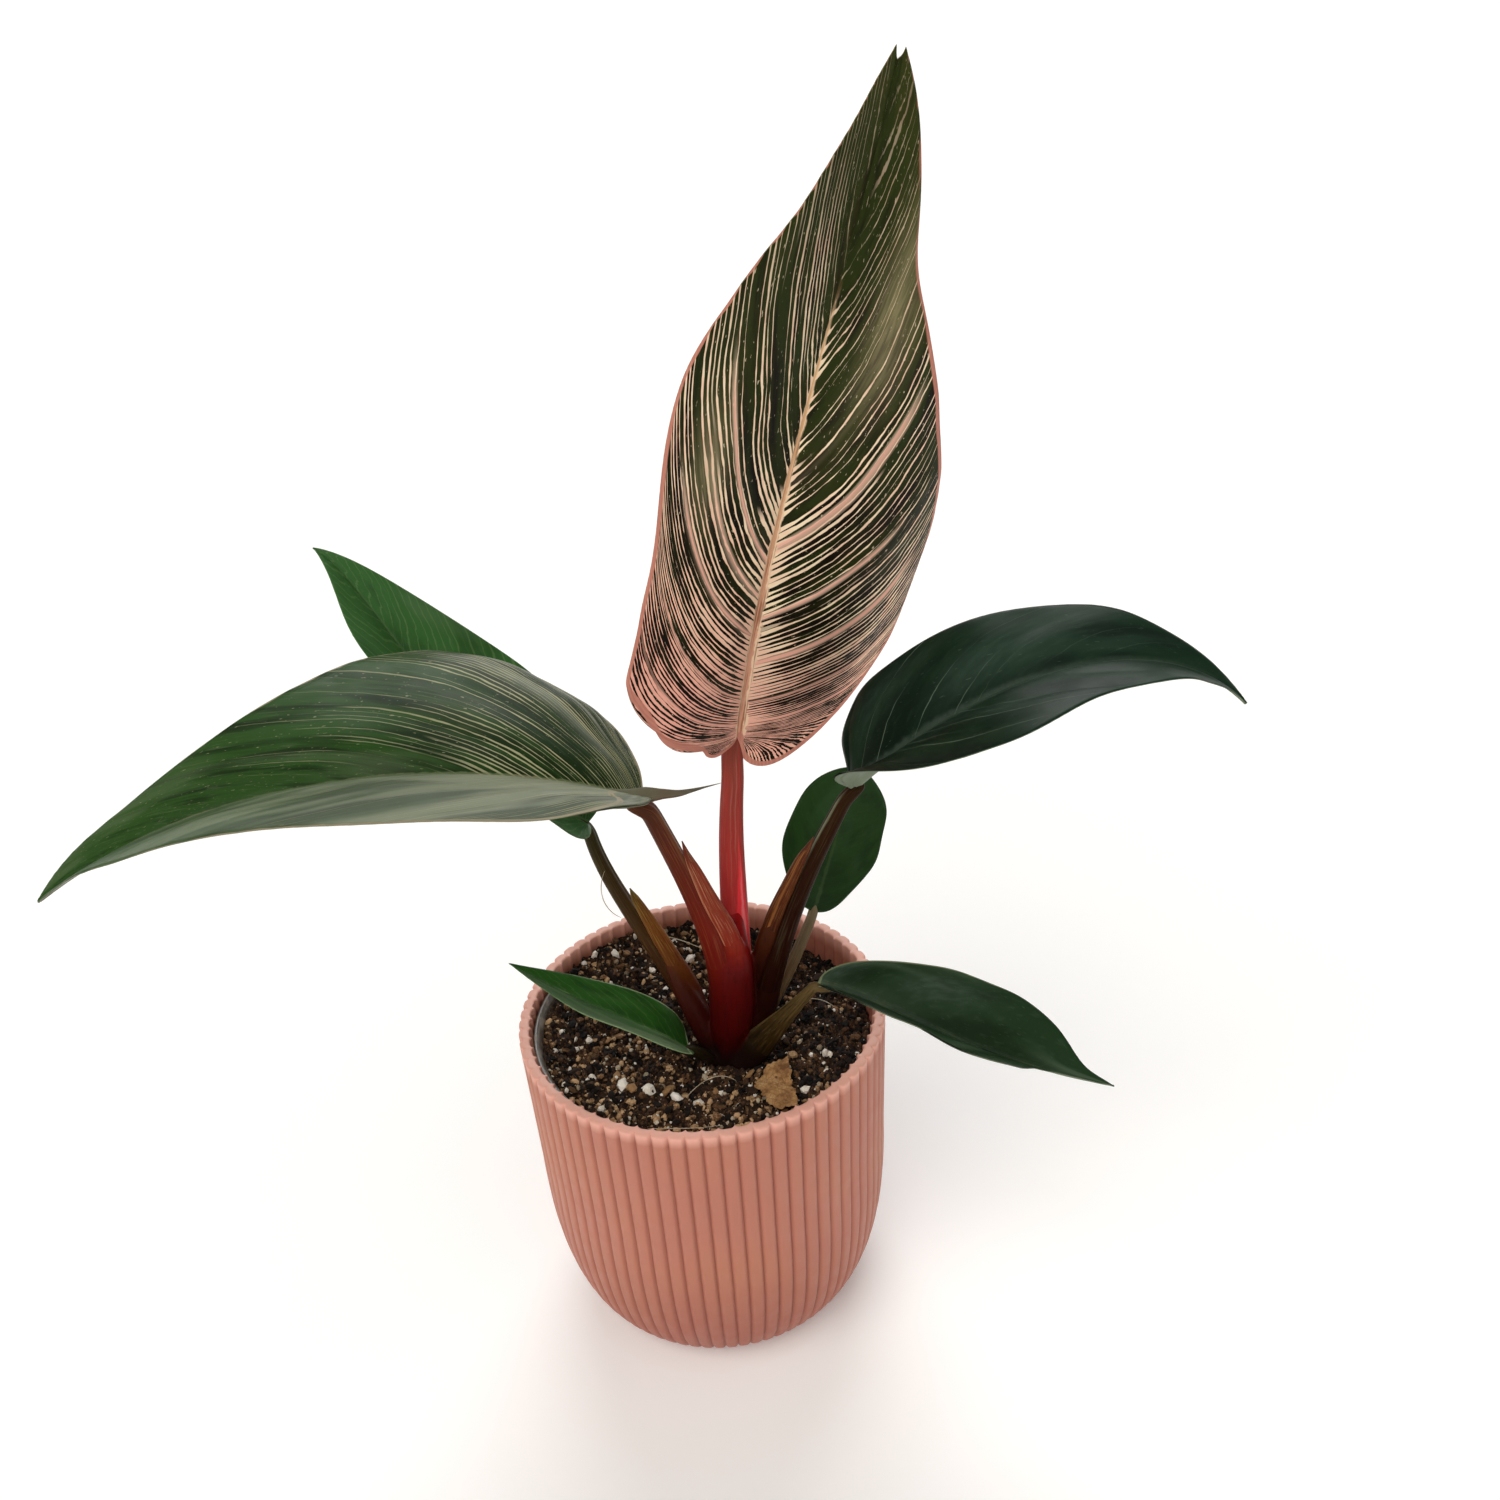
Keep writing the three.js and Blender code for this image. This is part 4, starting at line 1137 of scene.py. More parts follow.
@dataclass(frozen=True)
class Strand:
    """A thin loose fibre: a tube round a cubic curve that tapers to both ends."""

    path: Triples
    radius: float = 0.16
    steps: int = 26
    sides: int = 6

    def mesh(self) -> tuple[Array, list]:
        """Points and quads of the tube."""
        line, _ = cubic(np.array(self.path), self.steps)
        tangent = unit(np.gradient(line, axis=0))
        across = unit(np.cross(tangent, (0.31, 0.17, 0.93)))
        second = np.cross(tangent, across)
        share = np.linspace(0, 1, len(line))[:, None, None]
        width = self.radius * np.clip(np.sin(math.pi * share), 0, 1) ** 0.4 + 1e-4
        angle = (np.arange(self.sides) / self.sides * 2 * math.pi)[None, :, None]
        ring = across[:, None] * np.cos(angle) + second[:, None] * np.sin(angle)
        quads = grid_quads(len(line), self.sides, wrap=True)
        return (line[:, None] + width * ring).reshape(-1, 3), quads.tolist()


# Petioles and the crown


def stalk_rings(
    line: Array, wanted: Array, half: Array, angle: Array, dent: Array | float = 0.0,
    inflate: Array | float = 0.0,
) -> Array:
    """Rings of an oval section along a line.

    Args:
        line: the axis, one point a ring.
        wanted: the direction that angle 0 faces, as near as the axis lets it.
        half: for each ring, half the thickness that way and half the width across.
        angle: angles round the section.
        dent: share by which the radius is less, for each ring and angle.
        inflate: millimetres added to the radius.

    Returns:
        Points, (rings, angles, 3).
    """
    tangent = unit(np.gradient(line, axis=0))
    face = unit(wanted - (tangent @ wanted)[:, None] * tangent)
    side = np.cross(tangent, face)
    ahead = (half[:, :1] * (1 - dent) + inflate) * np.cos(angle)
    beside = (half[:, 1:] * (1 - dent) + inflate) * np.sin(angle)
    return line[:, None] + face[:, None] * ahead[..., None] + side[:, None] * beside[..., None]


def close_rings(points: Array) -> tuple[Array, list]:
    """Points and faces of a skin over rings, closed by a fan at each end."""
    rows, sides = points.shape[:2]
    quads = grid_quads(rows, sides, wrap=True).tolist()
    ends, top = [rows * sides, rows * sides + 1], (rows - 1) * sides
    for k in range(sides):
        after = (k + 1) % sides
        quads.append([ends[0], after, k])
        quads.append([ends[1], top + k, top + after])
    flat = np.concatenate([points.reshape(-1, 3), points[:1].mean(1), points[-1:].mean(1)])
    return flat, quads


def skin_uv(piece: bpy.types.Object, quads: list, angle: Array, share: Array) -> None:
    """Stores the angle, from -1 to 1, and the share of the length as the UV map "Skin"."""
    grid = np.stack(np.broadcast_arrays(angle[None, :] / math.pi, share[:, None]), -1).reshape(-1, 2)
    flat = np.concatenate([grid, [[0, share[0]], [0, share[-1]]]])
    sizes = [len(f) for f in quads]
    pairs = flat[np.array([v for f in quads for v in f])]
    starts = np.cumsum([0] + sizes[:-1])
    span = np.maximum.reduceat(pairs[:, 0], starts) - np.minimum.reduceat(pairs[:, 0], starts)
    seam = np.repeat(span > 1, sizes)
    pairs[seam & (pairs[:, 0] < 0), 0] += 2
    corner_uv(piece, "Skin", pairs)


@dataclass(frozen=True)
class Sheath:
    """The sheath of a petiole: a flattened horn beside the stalk that ends in a free tip.

    It runs from the tip down. Widths are half widths at even steps, faces is the way its
    flat side looks, and flat is its thickness as a share of its width.
    """

    path: Triples
    widths: tuple[float, ...]
    faces: Triple
    skin: PetioleSkin
    flat: float = 0.6
    steps: int = 90

    def rings(self, start: float = 0.0) -> tuple[Array, Array, Array]:
        """Points of the horn's rings past a share of its length, their angles and their shares.

        For the crown, where start isn't 0, the rings swell from below the skin to above it.
        """
        line = spline(np.array(self.path), self.steps)
        share = np.linspace(0, 1, self.steps + 1)
        half = np.interp(share, np.linspace(0, 1, len(self.widths)), self.widths)
        angle = np.linspace(-math.pi, math.pi, 41)[:-1]
        crease = 0.15 * np.exp(-((angle[None, :] / 0.3) ** 2)) * smoothstep(0.05, 0.3, share)[:, None]
        radii = np.stack([half * self.flat, half], -1)
        swell = (1.2 * smoothstep(start, start + 0.22, share) - 0.85)[:, None] if start else 0.0
        points = stalk_rings(line, np.array(self.faces, float), radii, angle, crease, swell)
        kept = share >= start
        return points[kept], angle, share[kept]

    def build(self, name: str, slot: str) -> None:
        """Makes the sheath."""
        points, angle, share = self.rings()
        flat, quads = close_rings(points)
        piece = make_piece(name, flat, quads)
        skin_uv(piece, quads, angle, 1 - share)
        settle(piece, self.skin.build(), slot)


@dataclass(frozen=True)
class Petiole:
    """A stalk round a cubic path, grooved on one side, that ends under its blade.

    Each entry of "halves" is a share of the length, half the thickness towards the groove
    and half the width across it. Nose is how far the stalk runs on under the midrib, and
    slide how far it drops below the blade's base first, as a share of its half thickness.
    """

    node: str
    slot: str
    path: Triples
    groove: Triple
    halves: Triples
    crown_share: float
    skin: PetioleSkin
    groove_deep: float = 0.2
    groove_span: float = 0.42
    nose: float = 12
    slide: float = 0.3
    sheath: Sheath | None = None
    steps: int = 120
    sides: int = 64

    def half_at(self, share: Array) -> Array:
        """Half thickness and half width at shares of the length."""
        known, thick, wide = (np.array(column) for column in zip(*self.halves))
        return np.stack([np.interp(share, known, thick), np.interp(share, known, wide)], -1)

    def axis(self, blade: Blade | None) -> tuple[Array, int]:
        """The stalk's line, and the number of its points before it enters the blade.

        The last stretch follows the blade's midrib, under its upper face.
        """
        stalk, walked = cubic(np.array(self.path), 600)
        stalk = along(walked, stalk, np.linspace(0, walked[-1], self.steps))
        if blade is None:
            return stalk, self.steps
        reach = np.linspace(1.5, self.nose, 18)
        centre, _, face, _ = blade.frame_at(reach)
        thick = self.halves[-1][1]
        share = np.linspace(0, 1, self.steps)
        slide = (thick + 0.2) * self.slide * smoothstep(1 - 0.13 * self.slide, 0.99, share)
        stalk = stalk - face[:1] * slide[:, None]
        under = centre - face * (thick * (1 - 0.85 * (reach / self.nose)) + 0.35)[:, None]
        line = np.concatenate([stalk[:-2], under])
        for _ in range(8):
            line[1:-1] = (line[:-2] + 2 * line[1:-1] + line[2:]) / 4
        return line, self.steps - 2

    def rings(self, line: Array, inside: int, shares: tuple, inflate: Array | float = 0.0) -> tuple:
        """Rings of the skin between two shares, their angles and shares."""
        count = len(line)
        position = np.arange(count) / (inside - 1)
        q = np.linspace(-1, 1, self.sides + 1)[:-1]
        angle = np.sign(q) * np.abs(q) ** 1.5 * math.pi
        past = np.clip((np.arange(count) - inside + 1) / max(count - inside, 1), 0, 1)[:, None]
        half = self.half_at(np.minimum(position, 1.0)) * (1 - 0.85 * past)
        deep = self.groove_deep * smoothstep(0.1, 0.4, position)[:, None]
        dent = deep * np.exp(-((angle[None, :] / self.groove_span) ** 2))
        kept = (position >= shares[0]) & (position <= shares[1])
        points = stalk_rings(line, np.array(self.groove, float), half, angle, dent, inflate)
        return points[kept], angle, position[kept]

    def build(self, blade: Blade) -> None:
        """Makes the petiole from inside the crown to under the blade, and its sheath."""
        line, inside = self.axis(blade)
        points, angle, share = self.rings(line, inside, (self.crown_share * 0.72, 9.0))
        flat, quads = close_rings(points)
        piece = make_piece(self.node + "_skin", flat, quads)
        skin_uv(piece, quads, angle, share)
        settle(piece, self.skin.build(), self.slot, self.node)
        if self.sheath:
            self.sheath.build(self.node + "_sheath", self.slot)


@dataclass(frozen=True)
class Trunk:
    """A round part of the crown: points of its axis, each with a radius and a colour."""

    path: Triples
    radii: tuple[float, ...]
    colours: tuple[str, ...]

    def rings(self) -> tuple[Array, Array]:
        """Rings round the axis, and their colours."""
        place = np.linspace(0, 1, 41)
        line = spline(np.array(self.path), 40)
        radius = np.interp(place, np.linspace(0, 1, len(self.radii)), self.radii)
        angle = np.linspace(-math.pi, math.pi, 41)[:-1]
        half = np.stack([radius, radius], -1)
        known = np.array([linear(colour) for colour in self.colours])
        at = np.linspace(0, 1, len(known))
        tones = np.stack([np.interp(place, at, known[:, k]) for k in range(4)], -1)
        return stalk_rings(line, np.array((0.0, -1.0, 0.0)), half, angle), tones


@dataclass
class Crown:
    """The fused petiole bases: one skin round the lower parts of all the petioles."""

    petioles: list[Petiole]
    trunks: tuple[Trunk, ...]
    voxel: float = 0.42
    soften: int = 16
    tone_mm: float = 0.6

    def parts(self) -> list[tuple[Array, Array]]:
        """The crown's parts: rings, and the tone of each ring."""
        found = []
        for petiole in self.petioles:
            line, inside = petiole.axis(None)
            position = np.arange(len(line)) / (inside - 1)
            top = petiole.crown_share * 1.12
            swell = 0.35 - 1.3 * smoothstep(petiole.crown_share * 0.7, top, position)
            rings, _, share = petiole.rings(line, inside, (0, top), swell[:, None])
            found.append((rings, petiole.skin.tones(share)))
            if petiole.sheath:
                rings, _, share = petiole.sheath.rings(0.5)
                found.append((rings, petiole.sheath.skin.tones(1 - share)))
        return found + [trunk.rings() for trunk in self.trunks]

    def tint(self, place: Array, parts: list[tuple[Array, Array]]) -> Array:
        """The colour at points: the tone of each part's nearest ring, mixed by their distances."""
        gaps, tones = [], []
        for rings, tone in parts:
            middle = rings.mean(1)
            radius = np.linalg.norm(rings - middle[:, None], axis=2).mean(1)
            away = np.linalg.norm(place[:, None] - middle[None], axis=2) - radius[None]
            gaps.append(away.min(axis=1))
            tones.append(tone[away.argmin(axis=1)])
        gap = np.stack(gaps)
        weight = np.exp(-(gap - gap.min(axis=0)) / self.tone_mm)
        weight /= weight.sum(axis=0)
        return (weight[..., None] * np.stack(tones)).sum(axis=0)

    def build(self) -> None:
        """Makes the crown.

        The lower stretches of petioles and sheaths, slightly swollen, and the trunks are
        joined by a voxel remesh. The swelling falls below zero at each stretch's upper end,
        so the crown's skin runs into the petiole's there.
        """
        parts = self.parts()
        piece = make_piece("crown_skin", *join([close_rings(rings) for rings, _ in parts]))
        remesh = piece.modifiers.new("join", "REMESH")
        remesh.mode = "VOXEL"
        remesh.voxel_size = self.voxel * MM
        smooth = piece.modifiers.new("soften", "SMOOTH")
        smooth.iterations = self.soften
        smooth.factor = 0.5
        bake_modifiers(piece)
        piece.data.polygons.foreach_set("use_smooth", [True] * len(piece.data.polygons))
        place = np.empty(len(piece.data.vertices) * 3)
        piece.data.vertices.foreach_get("co", place)
        tint = self.tint(place.reshape(-1, 3) / MM, parts)
        attribute = piece.data.attributes.new("tint", "FLOAT_COLOR", "POINT")
        attribute.data.foreach_set("color", tint.astype(np.float32).ravel())
        settle(piece, CrownSkin().build(), "crown_skin", "crown")


# Blades


@dataclass(frozen=True)
class Band:
    """A wide pale band along one vein: its side, vein and half width, and where it fades out."""

    side: int
    vein: float
    width: float
    reach: float = 0.9
    share: float = 1.0


@dataclass(frozen=True)
class Half:
    """One side of a blade, seen from its upper face with the tip up.

    Width is the flat half width in millimetres, and lobe how far its base reaches behind the
    petiole, as a share of the length. Fold turns the side up from flat at the midrib, by
    degrees, and curl goes on turning it out to the margin. Sway changes the width by one and
    by two waves along the side, and bow places the veins' bend along and across. A bulge is a
    vein, a spread and millimetres added to the width there. A vein power other than 0 stands
    in for the blade's. Base fold is an extra fold that fades out within base reach. Rim
    narrows the margin's line, and veil lays a painted grazing sheen over the side. The
    exponent 1 / flush bends the leaf's flush, crowd adds flush and stripes towards the margin,
    most at the base, and thin scales how many stripes are left out.
    """

    width: float
    lobe: float
    fold: float
    curl: float
    sway: tuple[float, float] = (0.0, 0.0)
    bow: tuple[float, float] = (0.35, 0.75)
    bulges: Triples = ()
    rim: float = 1.0
    vein_power: float = 0.0
    base_fold: float = 0.0
    base_reach: float = 15.0
    grazing_sheen: float = 0.0
    flush: float = 1.0
    crowd: float = 0.0
    thin: float = 1.0


@dataclass(frozen=True)
class Blade:
    """A leaf blade round its midrib.

    Flat, each side is filled by its veins. A vein leaves the midrib at the distance
    length * v^vein_power and bends to the margin's point of the same v. The flat blade is
    then bent: the midrib becomes a cubic curve, and each side turns up by its fold and on
    by its curl. Late keeps the veins' starts back by that share, except near the tip.

    Fan stripes are counted evenly over the veins' numbers, with a gain towards the tip, and
    run stripes over their starts along the midrib. The stops give flush, thin, fade and veil,
    the painted grazing sheen, as LeafSkin reads them, at shares of the length. A sheen is a
    side, a vein, a place along it, the spreads of both and a share.
    """

    node: str
    slot: str
    midrib: Triples
    face_at_base: Triple
    face_at_tip: Triple
    base_power: float
    tip_power: float
    left: Half
    right: Half
    skin: LeafSkin
    rows: int = 130
    columns: int = 30
    vein_power: float = 6.5
    late: float = 0.0
    lobe_turn: float = 0.19
    fan_stripes: float = 30
    run_stripes: float = 60
    stripe_gain: float = 0.0
    quilts: float = 9
    quilt_mm: float = 0.3
    ripple_mm: float = 0.35
    thickness: float = 0.45
    midrib_mm: float = 1.6
    flush_stops: Pairs = ((0, 0), (1, 0))
    thin_stops: Pairs = ((0, 0), (1, 0))
    fade_stops: Pairs = ((0, 1), (1, 1))
    grazing_sheen_stops: Pairs = ((0, 1), (1, 1))
    bands: tuple[Band, ...] = ()
    sheens: tuple[tuple[float, ...], ...] = ()
    tip_notch: float = 0.0
    tip_width: float = 0.0
    seed: int = 1

    def curve(self) -> tuple[Array, Array]:
        """The midrib's points and the length walked."""
        return cubic(np.array(self.midrib), 1500)

    def frame_at(self, distance: Array) -> tuple[Array, Array, Array, Array]:
        """Place, tangent, upper face and right-hand side of the midrib at distances along it."""
        points, walked = self.curve()
        tangents = unit(np.gradient(points, axis=0))
        share = np.clip(distance / walked[-1], 0, 1)
        kept = share * walked[-1]
        centre = along(walked, points, kept)
        tangent = unit(along(walked, tangents, kept))
        base, tip = unit(np.array(self.face_at_base, float)), unit(np.array(self.face_at_tip, float))
        face = base + (tip - base) * share[..., None]
        face = unit(face - (face * tangent).sum(-1, keepdims=True) * tangent)
        centre = centre + tangent * (distance - kept)[..., None]
        return centre, tangent, face, np.cross(tangent, face)

    def margin(self, half: Half, vein: Array, length: float) -> tuple[Array, Array]:
        """The margin's place along and across the flat blade, for each vein."""
        turn = self.lobe_turn
        reach = ((vein - turn) / (1 - turn)) ** 2
        notch = -half.lobe + (1 + half.lobe) * (turn / (1 - turn)) ** 2
        early = np.maximum(0, 1 - vein / turn) ** 2
        out = length * (-half.lobe + (1 + half.lobe) * reach - notch * early)
        steps = np.linspace(0, 1, 400)
        known = ((steps - turn) / (1 - turn)) ** 2
        shape = steps**self.base_power * np.maximum(1 - known, 0) ** self.tip_power
        wide = vein**self.base_power * np.maximum(1 - reach, 0) ** self.tip_power / shape.max()
        sway = 1 + half.sway[0] * np.sin(2 * math.pi * reach) + half.sway[1] * np.sin(4 * math.pi * reach)
        across = half.width * wide * sway
        for centre, spread, size in half.bulges:
            across = across + size * np.exp(-(((vein - centre) / spread) ** 2))
        across = across + self.tip_width * smoothstep(0.93, 1.0, vein)
        return out, across

    def side(self, half: Half, sign: int, vein: Array, share: Array) -> dict[str, Array]:
        """Surface points of one side.

        Args:
            half: the side's shape.
            sign: 1 for the right side and -1 for the left.
            vein: vein numbers from 0 to 1, as a column.
            share: places along each vein from 0, midrib, to 1, margin, as a row.

        Returns:
            For each point its place and normal, its distances from the midrib, "rib", and
            from the margin, "gap", how the margin's line is narrowed, "rim", the share of the
            length, the stripe count, the flat place along the blade, "x", the place along the
            vein, "out", and the vein.
        """
        length = self.curve()[1][-1]
        early = vein**self.vein_power
        start = length * ((1 - self.late) * early + self.late * early**12)
        notch = self.tip_notch * smoothstep(0.8, 1.0, early)
        vein = vein ** (self.vein_power / (half.vein_power or self.vein_power))
        out, across = self.margin(half, vein, length)
        bend_out = start + half.bow[0] * (out - start)
        bend_across = half.bow[1] * across
        a, b, c = (1 - share) ** 2, 2 * share * (1 - share), share**2
        x = a * start + b * bend_out + c * out
        y = b * bend_across + c * across
        x = x - notch * (1 - share)
        centre, _, face, right = self.frame_at(x)
        extra = half.base_fold * np.exp(-((np.maximum(x, 0) / half.base_reach) ** 2))
        fold = np.radians(half.fold + extra)
        curl = math.radians(half.curl or 0.01) / half.width
        turned = fold + curl * y
        aside = (np.sin(turned) - np.sin(fold)) / curl
        lifted = (np.cos(fold) - np.cos(turned)) / curl
        place = centre + right * (sign * aside)[..., None] + face * lifted[..., None]
        normal = face * np.cos(turned)[..., None] - right * (sign * np.sin(turned))[..., None]
        dense = np.linspace(0, 1, 260)
        mx, my = self.margin(half, dense, length)
        gap = np.full(x.shape, 1e9)
        for px, py in zip(mx, my):
            gap = np.minimum(gap, (x - px) ** 2 + (y - py) ** 2)
        stripe = self.fan_stripes * vein * (1 + self.stripe_gain * vein)
        stripe = stripe + self.run_stripes * early + 0 * share
        return {
            "place": place, "normal": normal, "rib": y, "gap": np.sqrt(gap), "rim": 0 * y + half.rim,
            "share": np.clip(x / length, 0, 1), "stripe": stripe, "x": x, "out": share + 0 * vein,
            "vein": vein + 0 * share,
        }

    def relief(self, part: dict[str, Array], sign: int) -> Array:
        """Height of the surface over the smooth bend.

        It is the quilting between the main veins, which fades at midrib and margin, plus a
        seeded ripple that grows towards the margin.
        """
        turns = part["stripe"] / (self.fan_stripes + self.run_stripes) * self.quilts
        quilt = np.abs(np.sin(math.pi * turns)) - 0.6
        fade = np.sin(math.pi * np.clip(part["out"], 0, 1) ** 0.7)
        wave = ripples(part["x"], sign * part["rib"], 26, self.seed)
        return self.quilt_mm * quilt * fade + self.ripple_mm * wave * smoothstep(0, 12, part["rib"])


    def surface(self) -> dict[str, Array]:
        """The values of side(), with relief and sign, from the left margin to the right one.

        Rows crowd towards the tip and columns towards the midrib. Near the midrib both sides'
        normals turn to their mean.
        """
        q = np.linspace(0.012, 1, self.rows)
        crowding = 1.2 if self.tip_width else 1.35
        vein = np.minimum((1 - (1 - q) ** crowding)[:, None], 0.9995)
        fine = np.linspace(0, 1, self.columns + 1)
        fine = (fine * (0.55 + 0.45 * fine))[None, :]
        parts = {}
        for sign, half in ((-1, self.left), (1, self.right)):
            part = self.side(half, sign, vein, fine)
            part["relief"] = self.relief(part, sign)
            part["sign"] = np.full(part["rib"].shape, float(sign))
            parts[sign] = part
        normal = unit(parts[-1]["normal"][:, 0] + parts[1]["normal"][:, 0])
        for part in parts.values():
            near = np.exp(-((part["rib"] / 1.6) ** 2))[..., None]
            part["normal"] = unit(part["normal"] * (1 - near) + normal[:, None] * near)
        return {
            key: np.concatenate([parts[-1][key][:, :0:-1], parts[1][key]], axis=1) for key in parts[1]
        }

    def faces(self, whole: dict[str, Array]) -> Array:
        """Points of the upper face, and of the lower one with its keel. The edge is thinner."""
        taper = 1 - 0.75 * smoothstep(0, 0.9, whole["share"])
        rib = np.exp(-((whole["rib"] / (self.midrib_mm * 0.8 * taper)) ** 2))
        edge = 1 - 0.55 * smoothstep(1.2, 0.0, whole["gap"])
        half = self.thickness / 2 * edge
        upper = half + whole["relief"] - 0.28 * rib * taper
        lower = half - whole["relief"] + self.midrib_mm * 0.75 * rib * taper
        top = whole["place"] + whole["normal"] * upper[..., None]
        under = whole["place"] - whole["normal"] * lower[..., None]
        return np.concatenate([top, under]).reshape(-1, 3)

    def quads(self, rows: int, columns: int) -> Array:
        """Quads of the upper face, the lower face and the edge between them."""
        face = grid_quads(rows, columns)
        count = rows * columns
        rim = np.concatenate([
            np.arange(columns), np.arange(1, rows) * columns + columns - 1,
            (rows - 1) * columns + np.arange(columns - 2, -1, -1), np.arange(rows - 2, 0, -1) * columns,
        ])
        ahead = np.roll(rim, -1)
        edge = np.stack([ahead, rim, rim + count, ahead + count], -1)
        return np.concatenate([face, face[:, ::-1] + count, edge])

    def pattern(self, whole: dict[str, Array]) -> dict[str, Array]:
        """The values that the skin's pattern reads, except "upper"."""

        def by_side(name: str) -> Array:
            """A value of each point's own side."""
            return np.where(whole["sign"] < 0, getattr(self.left, name), getattr(self.right, name))

        share, out, vein = whole["share"], whole["out"], whole["vein"]
        flush, thin, fade, grazing_sheen = (
            np.interp(share, *zip(*stops))
            for stops in (self.flush_stops, self.thin_stops, self.fade_stops, self.grazing_sheen_stops)
        )
        crowd = by_side("crowd") * out
        band, sheen = np.zeros(vein.shape), np.zeros(vein.shape)
        for mark in self.bands:
            near = smoothstep(mark.width, mark.width * 0.45, np.abs(vein - mark.vein))
            kept = smoothstep(mark.reach, mark.reach - 0.25, out) * (whole["sign"] == mark.side)
            band = np.maximum(band, near * kept * mark.share)
        for side, vein_at, out_at, vein_spread, out_spread, level in self.sheens:
            away = ((vein - vein_at) / vein_spread) ** 2 + ((out - out_at) / out_spread) ** 2
            sheen = np.maximum(sheen, level * np.exp(-away) * (whole["sign"] == side))
        return {
            "place": np.stack([whole["rib"], whole["gap"] / whole["rim"], share], -1),
            "flush": flush ** (1 / by_side("flush")) + crowd * (1 - share),
            "thin": thin * (1 - 1.5 * np.abs(crowd)) * by_side("thin"),
            "fade": fade,
            "band": band,
            "sheen": sheen,
            # The veil value places the painted grazing sheen.
            "grazing_sheen": by_side("grazing_sheen") * smoothstep(0, 1.5, whole["rib"]) * grazing_sheen,
        }

    def vein_map(self, whole: dict[str, Array], quads: Array) -> Array:
        """Each face corner's stripe count and place along its vein.

        The left side's count starts at 300, so that the two sides differ.
        """
        rows, columns = whole["rib"].shape
        stripe, out = (np.tile(whole[key].ravel(), 2) for key in ("stripe", "out"))
        middle = (whole["sign"][0] > 0).argmax()
        column = quads % (rows * columns) % columns
        is_left = (column.min(axis=1) < middle)[:, None]
        return np.stack([stripe[quads] + 300 * is_left, out[quads]], -1).reshape(-1, 2)

    def build(self) -> None:
        """Makes the blade as one closed skin: upper face, lower face with its keel, and edge."""
        whole = self.surface()
        rows, columns = whole["rib"].shape
        quads = self.quads(rows, columns)
        piece = make_piece(self.node + "_skin", self.faces(whole), quads)
        for name, values in self.pattern(whole).items():
            both = np.concatenate([values, values])
            point_value(piece, name, both.reshape(-1, 3) if both.ndim == 3 else both.ravel())
        point_value(piece, "upper", np.repeat([1.0, 0.0], rows * columns))
        corner_uv(piece, "Veins", self.vein_map(whole, quads))
        settle(piece, self.skin.build(), self.slot, self.node)


# A skin's bloom colour and share set its painted sheen bands as well as its waxy bloom.
PINK = LeafSkin(
    name="pink_striped_leaf", ground="262f0c", ground_dark="110a04", pale="ffe8c4", flush="efae9a",
    midrib="dba083", midrib_high="d9ad80", margin="c4806e", under="8a7256", fibre="8a4c2a", sheen="b3a67c",
    line_width=0.07, line_spread=0.3, flush_width=0.3, dash=1.0, patch=1.7, join=0.5, line_soft=0.03,
    bloom_and_sheen="565228", bloom_and_sheen_share=0.15, streak_share=0.1, midrib_mm=2.1, midrib_end=0.73, midrib_edge=0.6,
    margin_mm=1.8, gloss=0.4, speck_share=0.5, specular=0.08,
)
GREEN = LeafSkin(
    name="green_pinstriped_leaf", ground="2e4e20", ground_dark="182a0f", pale="bfbd96", flush="a5a27c",
    midrib="6f7a56", midrib_high="647252", margin="978d72", under="6f735f",
    line_width=0.05, line_spread=0.2, flush_width=0.1, dash=0.4, bloom_and_sheen="5f7050", bloom_and_sheen_share=0.4,
    sheen="8b9280", streak_share=0.3, midrib_mm=0.9, midrib_end=0.9, midrib_share=0.7, margin_mm=0.9,
    gloss=0.36, specular=0.09,
)
PLAIN = LeafSkin(
    name="plain_green_leaf", ground="37632f", ground_dark="2c5226", pale="6a8a58", flush="6a8a58",
    midrib="4f7246", midrib_high="47683e", margin="566f48", under="5b7a48",
    line_width=0.1, line_spread=0.2, flush_width=0.0, dash=0.3, line_strength=0.35, bloom_and_sheen="4f6e48",
    bloom_and_sheen_share=0.45, streak_share=0.25, midrib_mm=0.8, margin_mm=0.35, gloss=0.34, speck_share=0.0,
    specular=0.2,
)
DARK = LeafSkin(
    name="dark_green_leaf", ground="152b1b", ground_dark="0e1e15", pale="80937f", flush="8a9c8c",
    midrib="4d5c50", midrib_high="414f44", margin="465544", under="76806c",
    line_width=0.025, line_spread=0.05, flush_width=0.0, dash=0.06, patch=0.9, line_strength=0.55,
    line_soft=0.02, wander=0.4, bloom_and_sheen="304638", bloom_and_sheen_share=0.3, streak_share=0.12, sheen="45594c",
    midrib_mm=1.7, midrib_end=0.98, midrib_share=0.5, midrib_blur=1.1, margin_mm=0.35, gloss=0.34,
    speck_share=0.15, specular=0.09,
)
LOW_DARK = replace(
    DARK, name="low_dark_leaf", ground="1d331b", ground_dark="162814", bloom_and_sheen="475a45", bloom_and_sheen_share=0.55,
    margin="77805f", margin_mm=0.5, midrib_share=0.3, sheen="55655a",
)
